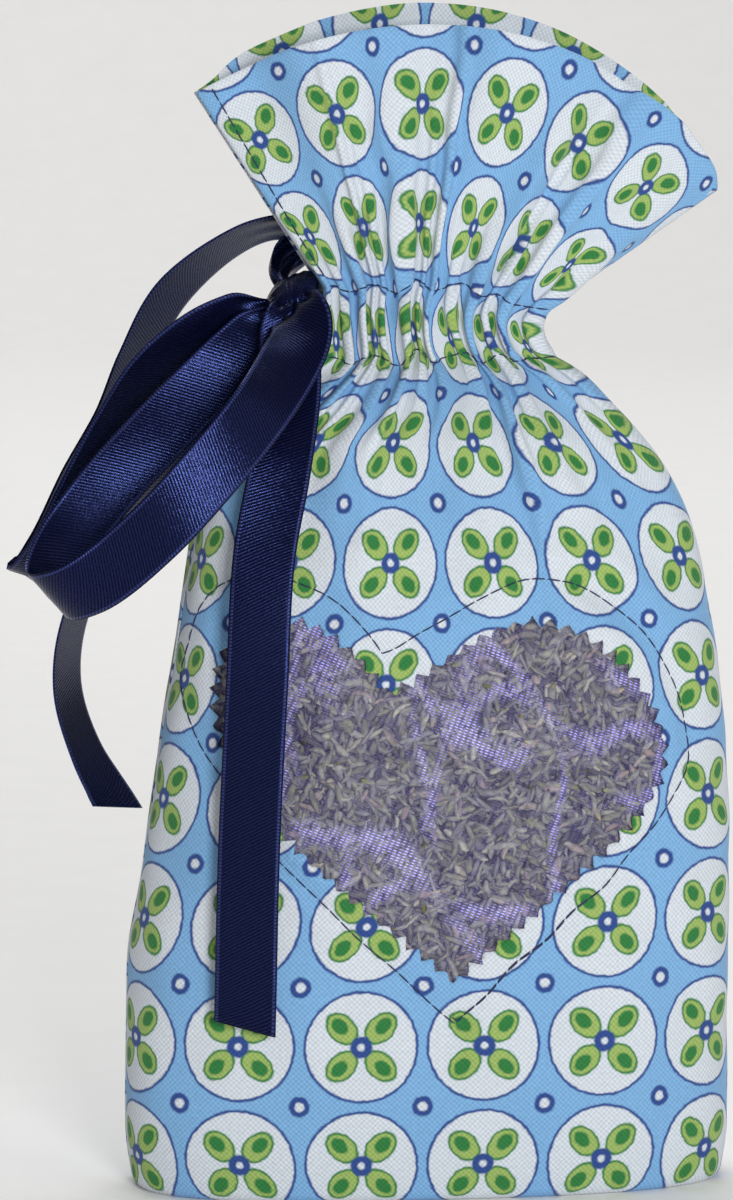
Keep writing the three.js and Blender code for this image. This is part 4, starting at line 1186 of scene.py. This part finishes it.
class SACHET_OT_lavender(bpy.types.Operator):
    """Dried lavender that fills the pouch, with single buds behind the window"""

    bl_idname = "sachet.lavender"
    bl_label = "Dried lavender"

    def execute(self, context):
        """A closed lumpy bed inside the panels, and buds scattered on it where the window shows them."""
        rng = np.random.default_rng(8)
        bed = self.bed()
        around = bed.shape[1]
        bed_faces = grid_faces(len(bed), around, ring=True)
        caps = [np.arange(around)[None, ::-1], (np.arange(around) + (len(bed) - 1) * around)[None]]
        buds, bud_faces, tint = self.buds(rng, len(bed) * around)
        # The bed is painted dark, low on the ramp: painted shade in the gaps between the buds
        tint = np.concatenate([np.full(len(bed) * around, 0.12), tint])
        points = np.concatenate([bed.reshape(-1, 3), buds])
        obj = put_mesh("dried_lavender", points, [bed_faces, *caps, *bud_faces], None, {"tint": tint})
        dress(obj, material_once(dried_lavender), "bag", "dried_lavender", "lavender_fill")
        return {"FINISHED"}

    def bed(self):
        """Rings of the filled body, a little inside the panels and lumpy, drawn together at both ends."""
        z = np.linspace(3.5, SHOULDER_TOP, 60)
        front = body_lines(z, np.full(len(z), 4.2))[:, ::6]
        ring = np.concatenate([front, (front * [1, -1, 1])[:, ::-1]], 1)
        lump = ripples(ring[..., 0] + ring[..., 1], ring[..., 2], 31, 5, 11)
        middle = ring.mean(1, keepdims=True)
        ring = middle + (ring - middle) * (1 + 0.012 * lump[..., None])
        shrink = np.array([0.02, 0.4, 0.75])[:, None, None]
        bottom = middle[:1] + (ring[:1] - middle[:1]) * shrink
        shrink = shrink[::-1]
        top = middle[-1:] + (ring[-1:] - middle[-1:]) * shrink + [0, 0, 2.0] * (1 - shrink)
        return np.concatenate([bottom, ring, top])

    def buds(self, rng, first):
        """Buds scattered behind the heart in four layers. Each is an angular spindle of four rings with
        four sides, scaled, bent, turned and laid along the cloth. Points are numbered from first."""
        p, _, rows = panel_grid("front")
        wanted = sizes().buds
        x = rng.uniform(-40, 41, wanted * 3)
        height = rng.uniform(34, 98, wanted * 3)
        margin = 7
        shown = inside(np.stack([x, height], 1), heart(np.add(HEART_SIZE, margin), HEART_NOTCH, 200))
        x, height = x[shown][:wanted], height[shown][:wanted]
        count = len(x)
        row, column = find_on_front(p, rows, x, height)
        normal = unit(on_grid(normals_of(p), row, column))
        layer = rng.integers(0, 4, count)
        depth = 1.4 + 0.55 * layer + rng.uniform(-0.15, 0.3, count)
        centre = on_grid(p, row, column) - normal * depth[:, None]
        turn = rng.uniform(0, np.pi, count)
        tilt = rng.normal(0, 0.3, count)
        right = unit(np.cross(normal, [0, 0, 1.0]))
        rise = np.cross(right, normal)
        axis = unit(right * np.cos(turn)[:, None] + rise * np.sin(turn)[:, None] + normal * tilt[:, None])
        side = unit(np.cross(axis, normal))
        deep = np.cross(side, axis)
        length = rng.uniform(1.9, 4.4, count)
        wide = rng.uniform(0.36, 0.78, count)
        s = np.array([0.0, 0.25, 0.72, 1.0])
        profile = np.array([0.35, 0.95, 0.9, 0.3])
        rings, sides = len(s), 4
        a = np.arange(sides) / sides * 2 * np.pi
        radius = wide[:, None, None] * profile[None, :, None] * rng.uniform(0.75, 1.25, (count, 1, sides))
        bend = rng.normal(0, 0.3, count)[:, None] * (s - 0.5) ** 2 * 4
        spine = (centre[:, None] + axis[:, None] * (length[:, None] * (s - 0.5))[..., None]
                 + side[:, None] * bend[..., None])
        bud = (spine[:, :, None] + side[:, None, None] * (radius * np.cos(a))[..., None]
               + deep[:, None, None] * (0.5 * radius * np.sin(a))[..., None])
        # Deeper layers move down the ramp and mostly darken: painted shade behind the upper buds
        tint = np.clip(rng.beta(2.2, 1.8, count) - 0.06 * layer, 0.05, 1)
        faces = tube_faces(rings, sides, count, first)
        return bud.reshape(-1, 3), faces, np.repeat(tint, rings * sides)


def stitches(line, normal, gap=0.12, radius=0.13, lift=0.1):
    """Machine stitches along a line on the cloth: each is a short tube that rises from the cloth and goes
    back into it, its height the root of a sine along its length. Returns points, faces and uv."""
    rings, sides = 7, 6
    run = run_along(line)
    pitch = size_mm("stitch_length") + gap
    count = max(int(run[-1] / pitch), 1)
    t = np.linspace(0, 1, rings)
    where = (np.arange(count)[:, None] + t * (1 - gap / pitch)) * pitch
    middle = at_run(line, run, where)
    out = unit(at_run(normal, run, where))
    arch = np.sqrt(np.sin(np.pi * np.clip(t, 0.001, 0.999)))
    middle = middle + out * (lift - 0.2 + 0.2 * arch)[None, :, None]
    along = unit(np.gradient(middle, axis=1))
    side = unit(np.cross(along, out))
    up = np.cross(side, along)
    a = np.arange(sides) / sides * 2 * np.pi
    thin = radius * (0.55 + 0.45 * arch)
    tube = (middle[:, :, None] + side[:, :, None] * (thin[:, None] * np.cos(a))[None, ..., None]
            + up[:, :, None] * (thin[:, None] * np.sin(a))[None, ..., None])
    uv = np.stack(np.broadcast_arrays(a[None, None] * radius, where[..., None]), -1)
    return tube.reshape(-1, 3), tube_faces(rings, sides, count), uv.reshape(-1, 2)


class SACHET_OT_stitching(bpy.types.Operator):
    """Stitch rows around the window, along the casing, at the slit and in the side seams"""

    bl_idname = "sachet.stitching"
    bl_label = "Stitching"

    def execute(self, context):
        navy = ("navy_thread", "Polyester sewing thread, navy", colour("thread"))
        pale = ("seam_thread", "Polyester sewing thread, pale", (*linear("#B8C4D4"), 1))
        p, _, rows = panel_grid("front")
        normal = normals_of(p)
        sewn = heart(SEWN_SIZE, SEWN_NOTCH, 500)
        # The seam closes over itself to the right of the tip
        tip = int(np.argmin(sewn[:, 1]))
        again = sewn[tip - 70:tip + 4]
        again = again + np.array([[0.7, 0.9]]) * np.sin(np.linspace(0, 2.6, len(again)))[:, None]
        sewn = np.vstack([sewn[tip:], sewn[:tip], again])
        # The hand that led the cloth wandered by a third of a millimetre
        sewn = sewn + 0.3 * np.stack([ripples(sewn[:, 0], sewn[:, 1], k, 6, 20, 8) for k in (61, 62)], 1)
        row, column = find_on_front(p, rows, sewn[:, 0], sewn[:, 1])
        self.sew("heart_stitching", on_grid(p, row, column), on_grid(normal, row, column), navy)
        for label, turn in (("front", 1), ("back", -1)):
            grid, _, marks = panel_grid(label)
            out = normals_of(grid)
            flip = np.array([1, turn, 1])
            inner = slice(4, COLUMNS - 6)
            for level, mark in (("lower", marks["casing"]), ("upper", marks["casing_top"])):
                self.sew(f"{label}_casing_stitch_{level}", grid[mark, inner] * flip,
                         out[mark, inner] * flip, navy)
            up = np.arange(marks["casing_top"] + 2, marks["rim"] + 1)
            from_edge = 3.2
            column = np.full(len(up), from_edge / CLOTH_WIDTH * (COLUMNS - 1))
            self.sew(f"{label}_slit_stitch", on_grid(grid, up, column) * flip,
                     on_grid(out, up, column) * flip, navy)
        z = np.linspace(9, SHOULDER_TOP, 60)
        w, _, s = body_at(z)
        allowance = 2.0
        for label, side in (("left", -1), ("right", 1)):
            x = side * (half_width(w) - allowance) + SHOULDER_SHIFT * s
            out = np.tile([side, 0.0, 0.0], (len(z), 1))
            self.sew(f"{label}_side_seam_thread", np.stack([x, 0 * x, z], 1), out, pale)
        return {"FINISHED"}

    def sew(self, node, line, normal, thread):
        """One row of stitches along a line, in a thread given by its slot, its name and its dye."""
        slot, name, dye = thread
        points, faces, uv = stitches(line, normal)
        obj = put_mesh("sewn_" + node, points, faces, uv)
        dress(obj, material_once(sewing_thread, name, dye), "bag", slot, node)


class SACHET_OT_stage(bpy.types.Operator):
    """Floor, light and camera"""

    bl_idname = "sachet.stage"
    bl_label = "Stage"

    def execute(self, context):
        """The floor runs back and curves up into a backdrop: a line in side view carried across."""
        scene = context.scene
        near_end, bend_at, bend, top = -2500, 2200, 600, 2600
        turn = np.linspace(0, np.pi / 2, 13)
        curve = np.stack([bend_at + bend * np.sin(turn), bend - bend * np.cos(turn)], 1)
        side = np.concatenate([[[near_end, 0]], curve, [[bend_at + bend, top]]])
        x = np.linspace(-2500, 2500, 9)
        p = np.stack(np.broadcast_arrays(x[None, :], side[:, :1], side[:, 1:]), -1)
        floor = put_mesh("studio_floor", p, [grid_faces(len(side), len(x))])
        floor.data.materials.append(material_once(studio_paper))
        world = scene.world or bpy.data.worlds.new("Studio")
        scene.world = world
        world.use_nodes = True
        world.node_tree.nodes.clear()
        glow = add(world.node_tree, "Background", (*linear("#F4F5F8"), 1), 0.22)
        add(world.node_tree, "OutputWorld", glow, out=None)
        # Place, size and power of each lamp
        lamps = [
            ("Key", (0.06, -1.0, 0.24), 0.2, 6.3),
            ("Fill", (0.7, -0.6, 0.4), 0.6, 0.9),
            ("Top", (0.05, 0.1, 0.95), 0.5, 1.7),
            ("Backdrop", (-0.1, 1.0, 2.2), 1.4, 32.0),
        ]
        for name, place, size, power in lamps:
            light = bpy.data.lights.new(name, "AREA")
            light.size = size
            light.energy = power
            lamp = bpy.data.objects.new(name, light)
            lamp.location = place
            aim = Vector((0, 2.4, 0.2)) if name == "Backdrop" else Vector((0, 0, 0.09))
            lamp.rotation_euler = (aim - Vector(place)).to_track_quat("-Z", "Y").to_euler()
            scene.collection.objects.link(lamp)
        camera = bpy.data.cameras.new("Camera")
        camera.sensor_fit = "VERTICAL"
        camera.sensor_height = 36
        azimuth, elevation, distance = np.radians(-7), np.radians(6), 0.95
        frame_height = 0.1951
        camera.lens = camera.sensor_height * distance / frame_height
        aim = Vector((-0.0100, 0, 0.0955))
        level = np.cos(elevation)
        away = Vector((np.sin(azimuth) * level, -np.cos(azimuth) * level, np.sin(elevation)))
        holder = bpy.data.objects.new("Camera", camera)
        holder.location = aim + away * distance
        holder.rotation_euler = (-away).to_track_quat("-Z", "Y").to_euler()
        scene.collection.objects.link(holder)
        scene.camera = holder
        scene.view_settings.view_transform = "Standard"
        return {"FINISHED"}


class SACHET_PT_panel(bpy.types.Panel):
    """Sizes, colours and steps of the sachet"""

    bl_idname = "SACHET_PT_panel"
    bl_label = "Lavender sachet"
    bl_space_type = "VIEW_3D"
    bl_region_type = "UI"
    bl_category = "Sachet"

    def draw(self, context):
        for group in (context.scene.sachet_sizes, context.scene.sachet_colours):
            for key in group.__annotations__:
                self.layout.prop(group, key)
        for step in STEPS:
            self.layout.operator(step.bl_idname)


STEPS = (SACHET_OT_stage, SACHET_OT_bow, SACHET_OT_panels, SACHET_OT_organza, SACHET_OT_lavender,
         SACHET_OT_stitching)
CLASSES = (SachetSizes, SachetColours, *STEPS, SACHET_PT_panel)


def register():
    for kind in CLASSES:
        bpy.utils.register_class(kind)
    bpy.types.Scene.sachet_sizes = PointerProperty(type=SachetSizes)
    bpy.types.Scene.sachet_colours = PointerProperty(type=SachetColours)


def unregister():
    del bpy.types.Scene.sachet_colours
    del bpy.types.Scene.sachet_sizes
    for kind in reversed(CLASSES):
        bpy.utils.unregister_class(kind)


def main():
    register()
    bpy.ops.sachet.stage()
    bpy.ops.sachet.bow()
    bpy.ops.sachet.panels()
    bpy.ops.sachet.organza()
    bpy.ops.sachet.lavender()
    bpy.ops.sachet.stitching()
    bpy.context.view_layer.update()


if __name__ == "__main__":
    main()
